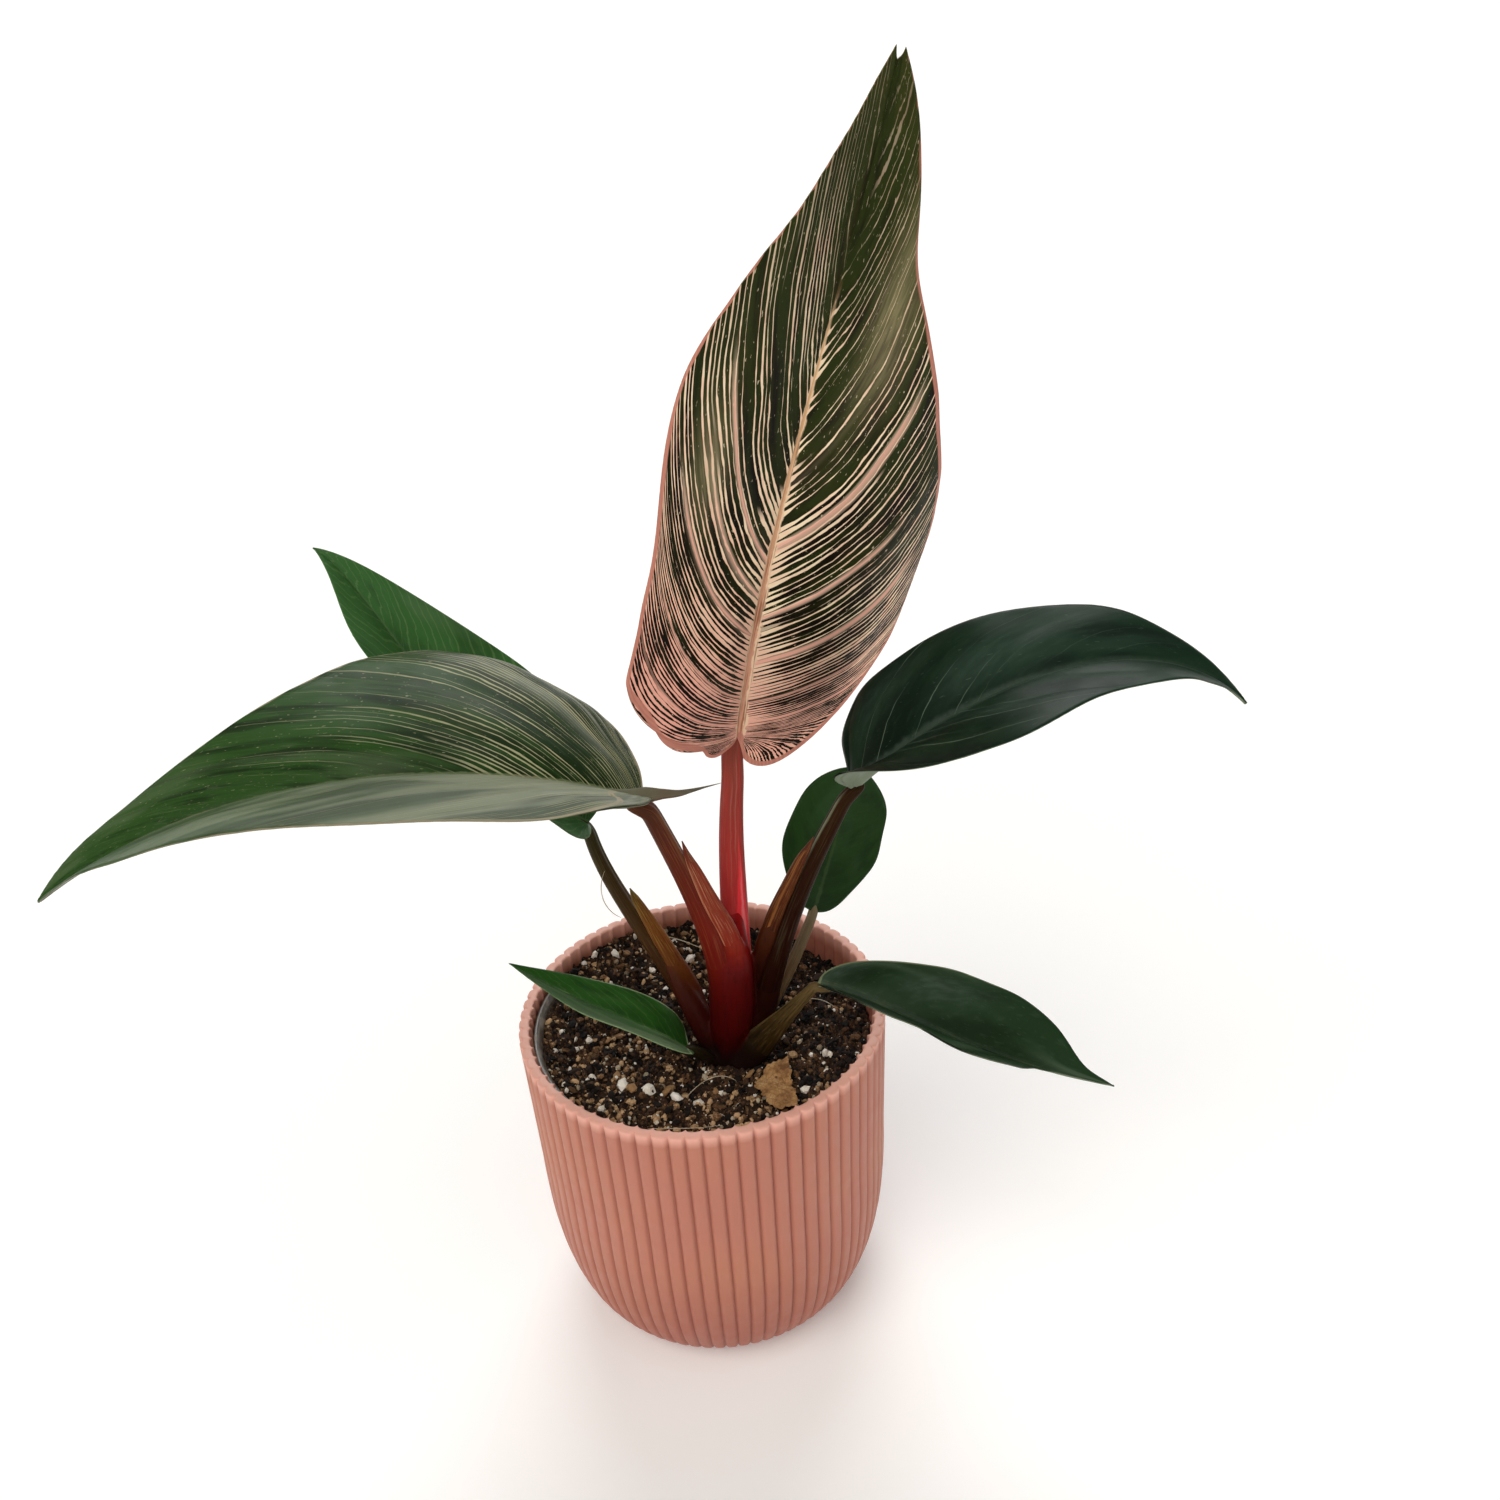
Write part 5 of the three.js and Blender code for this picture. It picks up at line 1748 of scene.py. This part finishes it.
YOUNG = LeafSkin(
    name="young_dark_leaf", ground="1d3a12", ground_dark="17300f", pale="2c4c20", flush="2c4c20",
    midrib="3c5030", midrib_high="31461f", margin="2f4724", under="4c6a3c",
    line_width=0.1, line_spread=0.1, flush_width=0.0, dash=0.2, line_strength=0.1, bloom_and_sheen="2c4a28",
    bloom_and_sheen_share=0.35, midrib_mm=0.6, midrib_share=0.6, margin_mm=0.3, gloss=0.36, speck_share=0.0,
    specular=0.17,
)
LOW = LeafSkin(
    name="low_green_leaf", ground="235016", ground_dark="1a4010", pale="4e7038", flush="4e7038",
    midrib="4a6e38", midrib_high="3c602c", margin="8b9c74", under="5f7d4c",
    line_width=0.1, line_spread=0.1, flush_width=0.0, dash=0.2, line_strength=0.3, bloom_and_sheen="3a5c2c",
    bloom_and_sheen_share=0.4, midrib_mm=0.5, midrib_share=0.6, margin_mm=0.5, gloss=0.34, speck_share=0.0,
    specular=0.2,
)

BLADES: dict[str, Blade] = {
    "upright": Blade(
        node="blade_upright", slot="leaf_pink_striped",
        midrib=((17, 5, 192), (28, 3, 259), (52, 3, 315), (63, 1, 361)),
        face_at_base=(0.37, -0.92, 0.12), face_at_tip=(0.13, -0.98, 0.13), base_power=1.73, tip_power=1.09,
        left=Half(46, 0.009, 36.2, -24, (0.041, 0.081), (0.28, 0.88),
                  ((0.19, 0.05, 0.5), (0.33, 0.045, -3.4), (0.42, 0.03, 1.8), (0.521, 0.024, 1.9),
                   (0.53, 0.06, 0.8), (0.585, 0.03, -0.9), (0.64, 0.08, -1.9)),
                  0.6, 6.6, flush=1.3, crowd=0.5, thin=1.25),
        right=Half(50, 0.056, 9.8, -46, (0.30, 0.04), (0.36, 0.92),
                   ((0.36, 0.11, -0.4), (0.7, 0.1, 0.7), (0.9, 0.035, -1.7)),
                   1.0, 4.9, flush=0.75, crowd=-0.16, thin=0.75),
        skin=PINK, rows=230, columns=48, vein_power=5.6, late=0.26, fan_stripes=50, run_stripes=18,
        stripe_gain=0.75, quilts=10, quilt_mm=0.22, midrib_mm=2.2, tip_notch=1.3, tip_width=1.2,
        seed=41,
        flush_stops=((0, 1), (0.1, 0.82), (0.25, 0.45), (0.45, 0.17), (0.6, 0.03), (0.75, 0), (1, 0)),
        thin_stops=((0, 0), (0.36, 0.05), (0.48, 0.42), (0.65, 0.55), (1, 0.75)),
        fade_stops=((0, 1), (0.55, 1), (0.75, 0.6), (0.86, 0.3), (1, 0.12)),
        bands=(
            Band(-1, 0.87, 0.003, 0.9), Band(-1, 0.842, 0.0025, 0.75, 0.8), Band(-1, 0.805, 0.004, 0.85),
            Band(-1, 0.7, 0.004), Band(-1, 0.6, 0.005, 0.8), Band(-1, 0.5, 0.006),
            Band(1, 0.885, 0.0018, 0.85, 0.6), Band(1, 0.84, 0.0036, 0.95, 0.9), Band(1, 0.77, 0.003, 0.7),
            Band(1, 0.7, 0.005, 0.8), Band(1, 0.6, 0.005, 0.8), Band(1, 0.5, 0.007, 0.9),
        ),
        sheens=((-1, 0.84, 0.65, 0.022, 0.12, 0.42), (1, 0.905, 0.76, 0.03, 0.3, 0.45)),
    ),
    "left": Blade(
        node="blade_left", slot="leaf_green_striped",
        midrib=((-10, -13, 186), (-47, -30, 214), (-109, -36, 222), (-156, -43, 192)),
        face_at_base=(-0.26, -0.24, 0.94), face_at_tip=(-0.19, -0.28, 0.94), base_power=1, tip_power=1.07,
        left=Half(46, -0.12, 35.1, -16, (-0.029, -0.029), (0.4, 0.8),
                  ((0.36, 0.11, -1.8), (0.53, 0.11, 0.8), (0.7, 0.1, -2.8), (0.87, 0.08, -0.8)), grazing_sheen=0.9),
        right=Half(52, 0.014, 18.1, -40, (0.40, 0.073), (0.4, 0.8), ((0.7, 0.1, 1.3), (0.87, 0.08, 1.9))),
        # The left half, seen edge-on, gets a painted grazing sheen that fades towards the tip.
        grazing_sheen_stops=((0, 1), (0.45, 0.95), (0.68, 0.6), (0.84, 0.15), (1, 0)),
        sheens=(
            (1, 0.57, 0.55, 0.022, 0.3, 0.6), (1, 0.68, 0.5, 0.022, 0.35, 0.6),
            (1, 0.48, 0.4, 0.02, 0.3, 0.4),
        ),
        skin=GREEN, rows=200, columns=40, vein_power=10, fan_stripes=66, run_stripes=26,
        stripe_gain=0.25, quilts=9, quilt_mm=0.4, midrib_mm=1.8, seed=42,
        flush_stops=((0, 1), (0.25, 0.7), (0.5, 0.1), (1, 0)),
        thin_stops=((0, 0), (0.3, 0.1), (0.5, 0.45), (0.7, 0.85), (1, 1.1)),
        fade_stops=((0, 0.95), (0.25, 0.85), (0.42, 0.45), (0.6, 0.22), (0.85, 0.08), (1, 0.05)),
    ),
    "back_left": Blade(
        node="blade_back_left", slot="leaf_plain_green",
        midrib=((-29, 32, 153), (-66, 41, 171), (-80, 49, 227), (-97, 53, 240)),
        face_at_base=(0.38, -0.63, 0.68), face_at_tip=(0.2, -0.79, 0.58), base_power=1.17, tip_power=1,
        left=Half(23, 0.021, 44.6, 0, (-0.317, -0.21)),
        right=Half(24, 0.015, 12, 0, (0.011, 0.023), bulges=((0.7, 0.1, 2.9),)),
        skin=PLAIN, rows=120, columns=26, fan_stripes=14, run_stripes=20, quilts=7, quilt_mm=0.3, seed=43,
    ),
    "right": Blade(
        node="blade_right", slot="leaf_dark_green",
        midrib=((46, -9, 181), (69, -21, 210), (118, -19, 234), (146, -27, 205)),
        face_at_base=(0.08, -0.33, 0.94), face_at_tip=(0.42, -0.36, 0.84), base_power=1, tip_power=1.23,
        left=Half(31, 0, 11.4, -27, (-0.006, 0.046), (0.38, 0.8),
                  ((0.53, 0.11, -3.2), (0.7, 0.1, 0.9), (0.87, 0.08, 2.3))),
        right=Half(32, -0.11, 27.6, 0, (-0.25, -0.177), (0.4, 0.8),
                   ((0.2, 0.13, 4.0), (0.5, 0.12, 6.1), (0.95, 0.03, -1.4)), base_fold=34.5,
                   base_reach=23.5),
        skin=DARK, rows=180, columns=36, vein_power=7.5, fan_stripes=16, run_stripes=12, quilts=8,
        quilt_mm=0.35, midrib_mm=1.8, seed=44,
        thin_stops=((0, 0.3), (0.4, 0.5), (0.8, 0.85), (1, 1.1)),
        sheens=((-1, 0.62, 0.55, 0.1, 0.3, 0.3), (-1, 0.85, 0.5, 0.05, 0.35, 0.3)),
        fade_stops=((0, 1), (0.35, 0.7), (0.6, 0.2), (1, 0)),
    ),
    "young": Blade(
        node="blade_young", slot="leaf_dark_green",
        midrib=((36, 9, 128), (40, 12, 137), (45, 12, 158), (52, 14, 173)),
        face_at_base=(0.1, -0.86, 0.5), face_at_tip=(0, -0.84, 0.54), base_power=1.58, tip_power=0.58,
        left=Half(15, -0.016, 2, 0, (-0.02, -0.03)),
        right=Half(13.5, -0.016, 0, 0, (-0.05, -0.05)),
        skin=YOUNG, rows=80, columns=20, fan_stripes=10, run_stripes=12, quilts=6, quilt_mm=0.12,
        ripple_mm=0.2, midrib_mm=0.9, seed=45,
    ),
    "low_right": Blade(
        node="blade_low_right", slot="leaf_dark_green",
        midrib=((33, -20, 124), (58, -27, 118), (68, -35, 106), (112, -47, 99)),
        face_at_base=(0.11, -0.26, 0.96), face_at_tip=(0.08, -0.26, 0.96), base_power=2.2, tip_power=1.13,
        left=Half(20, -0.008, 21, -10, (-0.122, -0.042),
                  bulges=((0.36, 0.11, -0.4), (0.87, 0.08, 1.7), (0.955, 0.03, -2.6))),
        right=Half(20, -0.06, 48.6, 0, (0.253, 0.371),
                   bulges=((0.6, 0.1, -3.3), (0.75, 0.1, 7.4), (0.9, 0.07, -7.0))),
        skin=LOW_DARK, rows=110, columns=24, fan_stripes=9, run_stripes=9, quilts=6, quilt_mm=0.2,
        midrib_mm=1.1, seed=46,
        thin_stops=((0, 0.5), (1, 0.9)),
        sheens=((-1, 0.5, 0.45, 0.12, 0.3, 0.45), (-1, 0.8, 0.5, 0.06, 0.3, 0.35)),
        fade_stops=((0, 0.5), (0.6, 0.25), (1, 0)),
    ),
    "low_left": Blade(
        node="blade_low_left", slot="leaf_plain_green",
        midrib=((-5, -14, 100), (-16, -21, 118), (-33, -15, 120), (-53, -10, 135)),
        face_at_base=(0.03, -0.3, 0.95), face_at_tip=(0.04, -0.32, 0.95), base_power=0.82, tip_power=1,
        # A light painted grazing sheen on the left half.
        left=Half(10.5, -0.08, 37, 0, (-0.1, 0.07), grazing_sheen=0.3),
        right=Half(10.5, -0.01, 4, 0, (-0.08, -0.02)),
        skin=LOW, rows=90, columns=20, fan_stripes=8, run_stripes=10, quilts=6, quilt_mm=0.12,
        ripple_mm=0.2, midrib_mm=0.9, seed=47,
    ),
}

PETIOLES: dict[str, Petiole] = {
    "upright": Petiole(
        node="petiole_upright", slot="petiole_coral",
        path=((8, -5, 84), (15, -2, 120), (9, 2, 157), (17, 5, 192)), groove=(0.3, -1, 0),
        halves=((0, 4.2, 4.2), (0.42, 3.9, 4.2), (0.6, 3.3, 3.9), (0.8, 3.0, 3.4), (1, 2.7, 3.0)),
        crown_share=0.42, groove_deep=0.14, groove_span=0.35, slide=1.0,
        skin=PetioleSkin(
            "coral_petiole", low="cc3836", middle="b0302f", high="7a382c", fibre="b4705f", middle_at=0.55,
            stripes=(
                Stripe(0.12, 0.32, "e4343a", (0.25, 0.76), True),
                Stripe(0.14, 0.07, "ee7e82", (0.34, 0.7), True, 0.8),
                # Painted highlight: a pale stripe along the edge.
                Stripe(0.42, 0.06, "b86a60", (0.3, 0.97), False, 0.4),
                Stripe(0.02, 0.02, "a9675a", (0.7, 0.98), False, 0.4, 0.015),
                Stripe(-0.12, 0.015, "a9675a", (0.6, 0.92), False, 0.3, 0.015),
            ),
        ),
    ),
    "left": Petiole(
        node="petiole_left", slot="petiole_brick",
        path=((6, -8, 84), (11, -9, 130), (1, -11, 153), (-10, -13, 186)), groove=(1, 0, 0.3),
        halves=((0, 4.2, 4.2), (0.5, 3.6, 3.6), (0.75, 3.1, 3.1), (1, 2.6, 2.7)), crown_share=0.5, nose=7,
        skin=PetioleSkin(
            "brick_petiole", low="560b0a", middle="6a180c", high="4c2817", fibre="8c5634",
            # Painted highlight: a paler brown stripe along the edge.
            stripes=(Stripe(-0.2, 0.1, "8a5c3a", (0.6, 1.0), False, 0.4, 0.06),), fibre_share=0.3,
            dark_share=0.4,
        ),
        sheath=Sheath(
            path=((-1, -13, 171.8), (0.2, -13, 166.5), (2, -13, 161), (5.3, -12.5, 150.5),
                  (8.9, -11, 140.1), (11, -10, 131.3), (11.4, -8.6, 122), (11, -7.4, 113)),
            widths=(0.14, 1.09, 1.79, 2.51, 2.84, 2.89, 2.4, 1.4), faces=(0.35, -0.9, 0.3),
            skin=PetioleSkin(
                "brick_sheath", low="86140f", middle="7f3a25", high="4e2617", fibre="bd8464",
                # Painted highlight: a salmon stripe along the sheath's edge.
                middle_at=0.66, stripes=(Stripe(0.4, 0.04, "c98a68", (0.3, 0.9), False, 0.7),),
                fibre_share=0.6, dark_share=0.65, fineness=17,
            ),
        ),
    ),
    "back_left": Petiole(
        node="petiole_back_left", slot="petiole_olive",
        path=((3, -3, 84), (-1, 9, 107), (-27, 20, 135), (-29, 32, 153)), groove=(1, -0.3, 0.4),
        halves=((0, 3.6, 3.6), (0.34, 3.2, 3.2), (0.7, 2.6, 2.5), (1, 2.1, 2.1)), crown_share=0.34,
        skin=PetioleSkin(
            "olive_petiole", low="3a120a", middle="4a3015", high="343018", fibre="7d6a34",
        ),
        sheath=Sheath(
            path=((-17.8, 14, 139.8), (-16.6, 13, 136.8), (-14.6, 11.5, 132.9), (-10.4, 8, 125),
                  (-6.2, 5, 116.6), (-2.5, 2, 109), (0.6, -1, 101)),
            widths=(0.15, 1.2, 1.65, 2.41, 2.73, 2.74, 2.0), faces=(0.3, -0.8, 0.5),
            skin=PetioleSkin(
                "olive_sheath", low="4a1c0e", middle="7c4a1e", high="5f5228", fibre="b08a44",
                fibre_share=0.55, dark_share=0.6, fineness=17,
            ),
        ),
    ),
    "right": Petiole(
        node="petiole_right", slot="petiole_dark",
        path=((13, -4, 84), (22, -6, 125), (27, -7, 144), (46, -9, 181)), groove=(-1, 0, 0.3),
        halves=((0, 4.2, 4.2), (0.36, 3.8, 3.8), (0.7, 2.9, 2.9), (1, 2.1, 2.1)), crown_share=0.36, nose=3,
        skin=PetioleSkin(
            "dark_petiole", low="1a0603", middle="240a03", high="2c1706", fibre="6f6f50", specular=0.05,
            stripes=(
                # Painted highlights: a pale olive band on the upper part and a thin pale line along the
                # edge.
                Stripe(0.08, 0.11, "717458", (0.74, 1.0), False, 0.85, 0.05),
                Stripe(0.9, 0.025, "8b8870", (0.36, 0.97), False, 0.8, 0.02),
            ),
            fibre_share=0.12,
        ),
        sheath=Sheath(
            path=((35.1, -10, 166.9), (33.3, -10, 163.5), (31, -9.5, 159.1), (27.3, -9, 150.8),
                  (23.5, -8, 141.6), (20.5, -7, 132.1), (18.1, -6, 123.7), (16, -5, 115)),
            widths=(0.14, 0.97, 1.53, 1.97, 2.29, 2.47, 2.35, 1.5), faces=(-0.35, -0.9, 0.3),
            skin=PetioleSkin(
                "dark_sheath", low="2a0c06", middle="52280f", high="4e2a1a", fibre="96663c",
                stripes=(Stripe(0.05, 0.05, "8c5628", (0.3, 0.85), False, 0.7),), fibre_share=0.5,
                dark_share=0.6, fineness=17,
            ),
        ),
    ),
    "young": Petiole(
        node="petiole_young", slot="petiole_pale",
        path=((12, -3, 94), (22, 1, 101), (29, 6, 112), (36, 9, 128)), groove=(-1, -0.5, 0.5),
        halves=((0, 2.4, 2.4), (0.4, 2.1, 2.1), (1, 1.5, 1.5)), crown_share=0.42, nose=6,
        skin=PetioleSkin("pale_petiole", low="57432c", middle="6b563c", high="776a50", fibre="9a8a6c"),
    ),
    "low_right": Petiole(
        node="petiole_low_right", slot="petiole_khaki",
        path=((9, -11.5, 90), (15, -12.5, 97), (25, -15.5, 111.5), (33, -20, 124)),
        groove=(-0.1, -0.75, 0.65),
        halves=((0, 2.6, 3.2), (0.12, 2.6, 4.4), (0.28, 2.4, 4.6), (0.45, 2.1, 3.6), (0.62, 1.8, 2.6),
                (0.8, 1.5, 1.9), (1, 1.3, 1.5)),
        crown_share=0.3, nose=6, groove_deep=0.0,
        skin=PetioleSkin(
            "khaki_petiole", low="120804", middle="38280f", high="5c4b2c", fibre="725c38",
            stripes=(Stripe(-0.4, 0.06, "7d6b44", (0.3, 0.9), False, 0.5, 0.06),), middle_at=0.5,
            fibre_share=0.35, dark_share=0.6, fineness=14,
        ),
    ),
    "low_left": Petiole(
        node="petiole_low_left", slot="petiole_khaki",
        path=((5, -8, 86), (2, -10, 92), (-1, -12, 96), (-5, -14, 100)), groove=(0, 0, 1),
        halves=((0, 2.4, 2.4), (0.55, 2.1, 2.1), (1, 1.6, 1.6)), crown_share=0.55, nose=4,
        skin=PetioleSkin("short_petiole", low="140905", middle="1e120a", high="2a2412", fibre="38331c"),
    ),
}

TRUNKS = (
    Trunk(
        ((12.4, 2.5, 145), (11.4, -1.5, 137), (10.2, -6, 130), (9.5, -7.5, 124), (8.9, -8, 112),
         (8.2, -8, 104), (7.4, -8, 98), (6.6, -8, 91), (6.4, -8, 85)),
        (0.5, 3.0, 5.2, 6.4, 6.7, 6.3, 5.0, 4.6, 4.6),
        ("9a1216", "8c1013", "700c0d", "540808", "480707", "440707", "3a0706", "260805", "1c0906"),
    ),
    Trunk(
        ((-9.5, 6, 119), (-5.5, 2, 111), (-1.5, -2, 103), (3, -6, 93), (5, -7, 86)),
        (0.8, 2.9, 3.9, 4.2, 4.2),
        ("4a2012", "3a0f0a", "2a0c08"),
    ),
    Trunk(
        ((22.2, -5.2, 124), (19.6, -5, 112), (15.5, -6, 98), (12, -7, 87)),
        (3.4, 4.0, 4.2, 4.2),
        ("2c0f08", "260b07", "200a06"),
    ),
)

FLAP = Sheath(
    path=((-21, -25.5, 195), (-13.6, -24.5, 193.6), (-8.7, -24, 193.8), (-4.9, -22, 192.5), (-1, -20, 191),
          (2.4, -18, 190.2), (6.4, -15, 189.1), (10.8, -13, 188.7)),
    widths=(2.7, 2.57, 2.18, 1.42, 0.97, 0.59, 0.26, 0.07), faces=(0.1, -0.72, 0.69),
    skin=PetioleSkin(
        "basal_lobe", low="5f5f50", middle="665a48", high="6a6d5a", fibre="8a8670",
        stripes=(Stripe(0.5, 0.22, "55301f", (0.05, 0.8), False, 0.75, 0.1),), dark_share=0.1,
    ),
    flat=0.16,
)

STRANDS = (
    Strand(((-24.9, 22, 141.8), (-28.6, 21, 135), (-26.5, 20, 128), (-21.5, 19, 125.8)), 0.15),
    Strand(((-24, 44, 98), (-10, 50, 99), (-2, 40, 97), (3, 36, 98))),
    Strand(((-8, -28, 93), (-2, -24, 98), (4, -20, 96), (8, -22, 93)), 0.13),
    Strand(((-20, -36, 92), (-14, -40, 95), (-4, -41, 94), (4, -38, 92)), 0.11),
    Strand(((14, -36, 92), (18, -40, 94), (24, -38, 94), (28, -34, 92)), 0.1),
    Strand(((-36, 12, 96), (-30, 16, 98), (-24, 12, 97), (-20, 8, 95)), 0.12),
    Strand(((30, 12, 93), (34, 8, 96), (38, 10, 95), (42, 4, 93)), 0.12),
)


# Stage, light and camera


@dataclass(frozen=True)
class Viewpoint:
    """The photograph's camera: it looks at the rim's centre from the front and above.

    It is then turned by small angles about its own axes, because the frame isn't centred
    on the rim. The photograph is square and its focal length is 1450 of its 1500 pixels.
    """

    target: Triple = (0, 0, 104)
    distance: float = 443
    elevation_deg: float = 39.19
    yaw_deg: float = -2.92
    pitch_deg: float = 9.78
    roll_deg: float = 6.08
    focal_px: float = 1450
    frame_px: float = 1500
    sensor_mm: float = 36

    def build(self) -> None:
        """Makes the camera and hands it to the scene."""
        lift = math.radians(self.elevation_deg)
        offset = Vector((0, -self.distance * math.cos(lift), self.distance * math.sin(lift)))
        ahead, right = -offset.normalized(), Vector((1, 0, 0))
        up = right.cross(ahead)
        yaw = Matrix.Rotation(math.radians(self.yaw_deg), 3, up)
        ahead, right = yaw @ ahead, yaw @ right
        pitch = Matrix.Rotation(math.radians(self.pitch_deg), 3, right)
        ahead, up = pitch @ ahead, pitch @ up
        roll = Matrix.Rotation(math.radians(self.roll_deg), 3, ahead)
        right, up = roll @ right, roll @ up
        data = bpy.data.cameras.new("camera")
        data.sensor_width = self.sensor_mm
        data.lens = self.sensor_mm * self.focal_px / self.frame_px
        data.clip_start, data.clip_end = 0.01, 100
        camera = bpy.data.objects.new("camera", data)
        turn = Matrix((right, up, -ahead)).transposed().to_4x4()
        camera.matrix_world = Matrix.Translation((offset + Vector(self.target)) * MM) @ turn
        bpy.context.scene.collection.objects.link(camera)
        bpy.context.scene.camera = camera


@dataclass(frozen=True)
class Lamp:
    """A distant soft lamp: the direction it shines from, its apparent width and its strength."""

    name: str
    azimuth_deg: float
    elevation_deg: float
    width_deg: float
    strength: float
    colour: str = "ffffff"

    def build(self) -> None:
        """Makes the lamp."""
        data = bpy.data.lights.new(self.name, "SUN")
        data.angle = math.radians(self.width_deg)
        data.energy = self.strength
        data.color = linear(self.colour)[:3]
        light = bpy.data.objects.new(self.name, data)
        turn, lift = math.radians(self.azimuth_deg), math.radians(self.elevation_deg)
        source = Vector((math.cos(turn) * math.cos(lift), math.sin(turn) * math.cos(lift), math.sin(lift)))
        light.rotation_euler = source.to_track_quat("Z", "Y").to_euler()
        bpy.context.scene.collection.objects.link(light)


@dataclass(frozen=True)
class Studio:
    """A wide pale floor with a low wall round it, a dim even sky and soft distant lamps."""

    floor_radius: float = 40000
    wall_height: float = 5000
    sides: int = 64
    sky: float = 0.2
    floor_glow: float = 0.1
    wall_glow: float = 0.8
    lamps: tuple[Lamp, ...] = (
        Lamp("window", 84, 40, 44, 1.7),
        Lamp("key", -128, 48, 46, 1.35, "fffaf4"),
        Lamp("front", -72, 60, 60, 0.5, "fffaf4"),
    )

    def build(self) -> None:
        """Makes the floor, the wall, the sky and the lamps."""
        angle = np.arange(self.sides) / self.sides * 2 * math.pi
        ring = np.stack([np.cos(angle), np.sin(angle), 0 * angle], -1) * self.floor_radius
        raised = ring + (0, 0, self.wall_height)
        floor = make_piece("floor", ring, [list(range(self.sides))])
        around = grid_quads(2, self.sides, wrap=True)
        wall = make_piece("backdrop", np.concatenate([ring, raised]), around)
        finishes = ((floor, "pale_floor", self.floor_glow), (wall, "pale_backdrop", self.wall_glow))
        for piece, name, light in finishes:
            bench = Bench(name)
            piece.data.materials.append(
                bench.finish(
                    Base_Color="fafaf9", Roughness=0.9, Specular_IOR_Level=0.0,
                    Emission_Color="ffffff", Emission_Strength=light,
                )
            )
        world = bpy.data.worlds.new("sky")
        world.use_nodes = True
        background = world.node_tree.nodes["Background"]
        background.inputs["Color"].default_value = linear("ffffff")
        background.inputs["Strength"].default_value = self.sky
        bpy.context.scene.world = world
        for lamp in self.lamps:
            lamp.build()
        bpy.context.scene.view_settings.view_transform = "Standard"


def main() -> None:
    """Builds everything in order."""
    logging.basicConfig(level=logging.INFO, format="%(message)s")
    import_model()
    Viewpoint().build()
    Studio().build()
    low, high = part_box("cover_pot")
    pot = CoverPot(height=high[2] / MM, rim_radius=(high[0] - low[0]) / 2 / MM)
    pot.build()
    NurseryPot().build()
    SoilBed(radius=float(pot.radius_at(np.array([SoilBed.level]), pot.wall)[0])).build()
    DryScrap().build()
    for name, blade in BLADES.items():
        blade.build()
        PETIOLES[name].build(blade)
    Crown(list(PETIOLES.values()), TRUNKS).build()
    FLAP.build("blade_left_lobe", "leaf_green_striped")
    fibres = make_piece("loose_fibres", *join([strand.mesh() for strand in STRANDS]))
    settle(fibres, Fibre().build(), "soil")


if __name__ == "__main__":
    main()
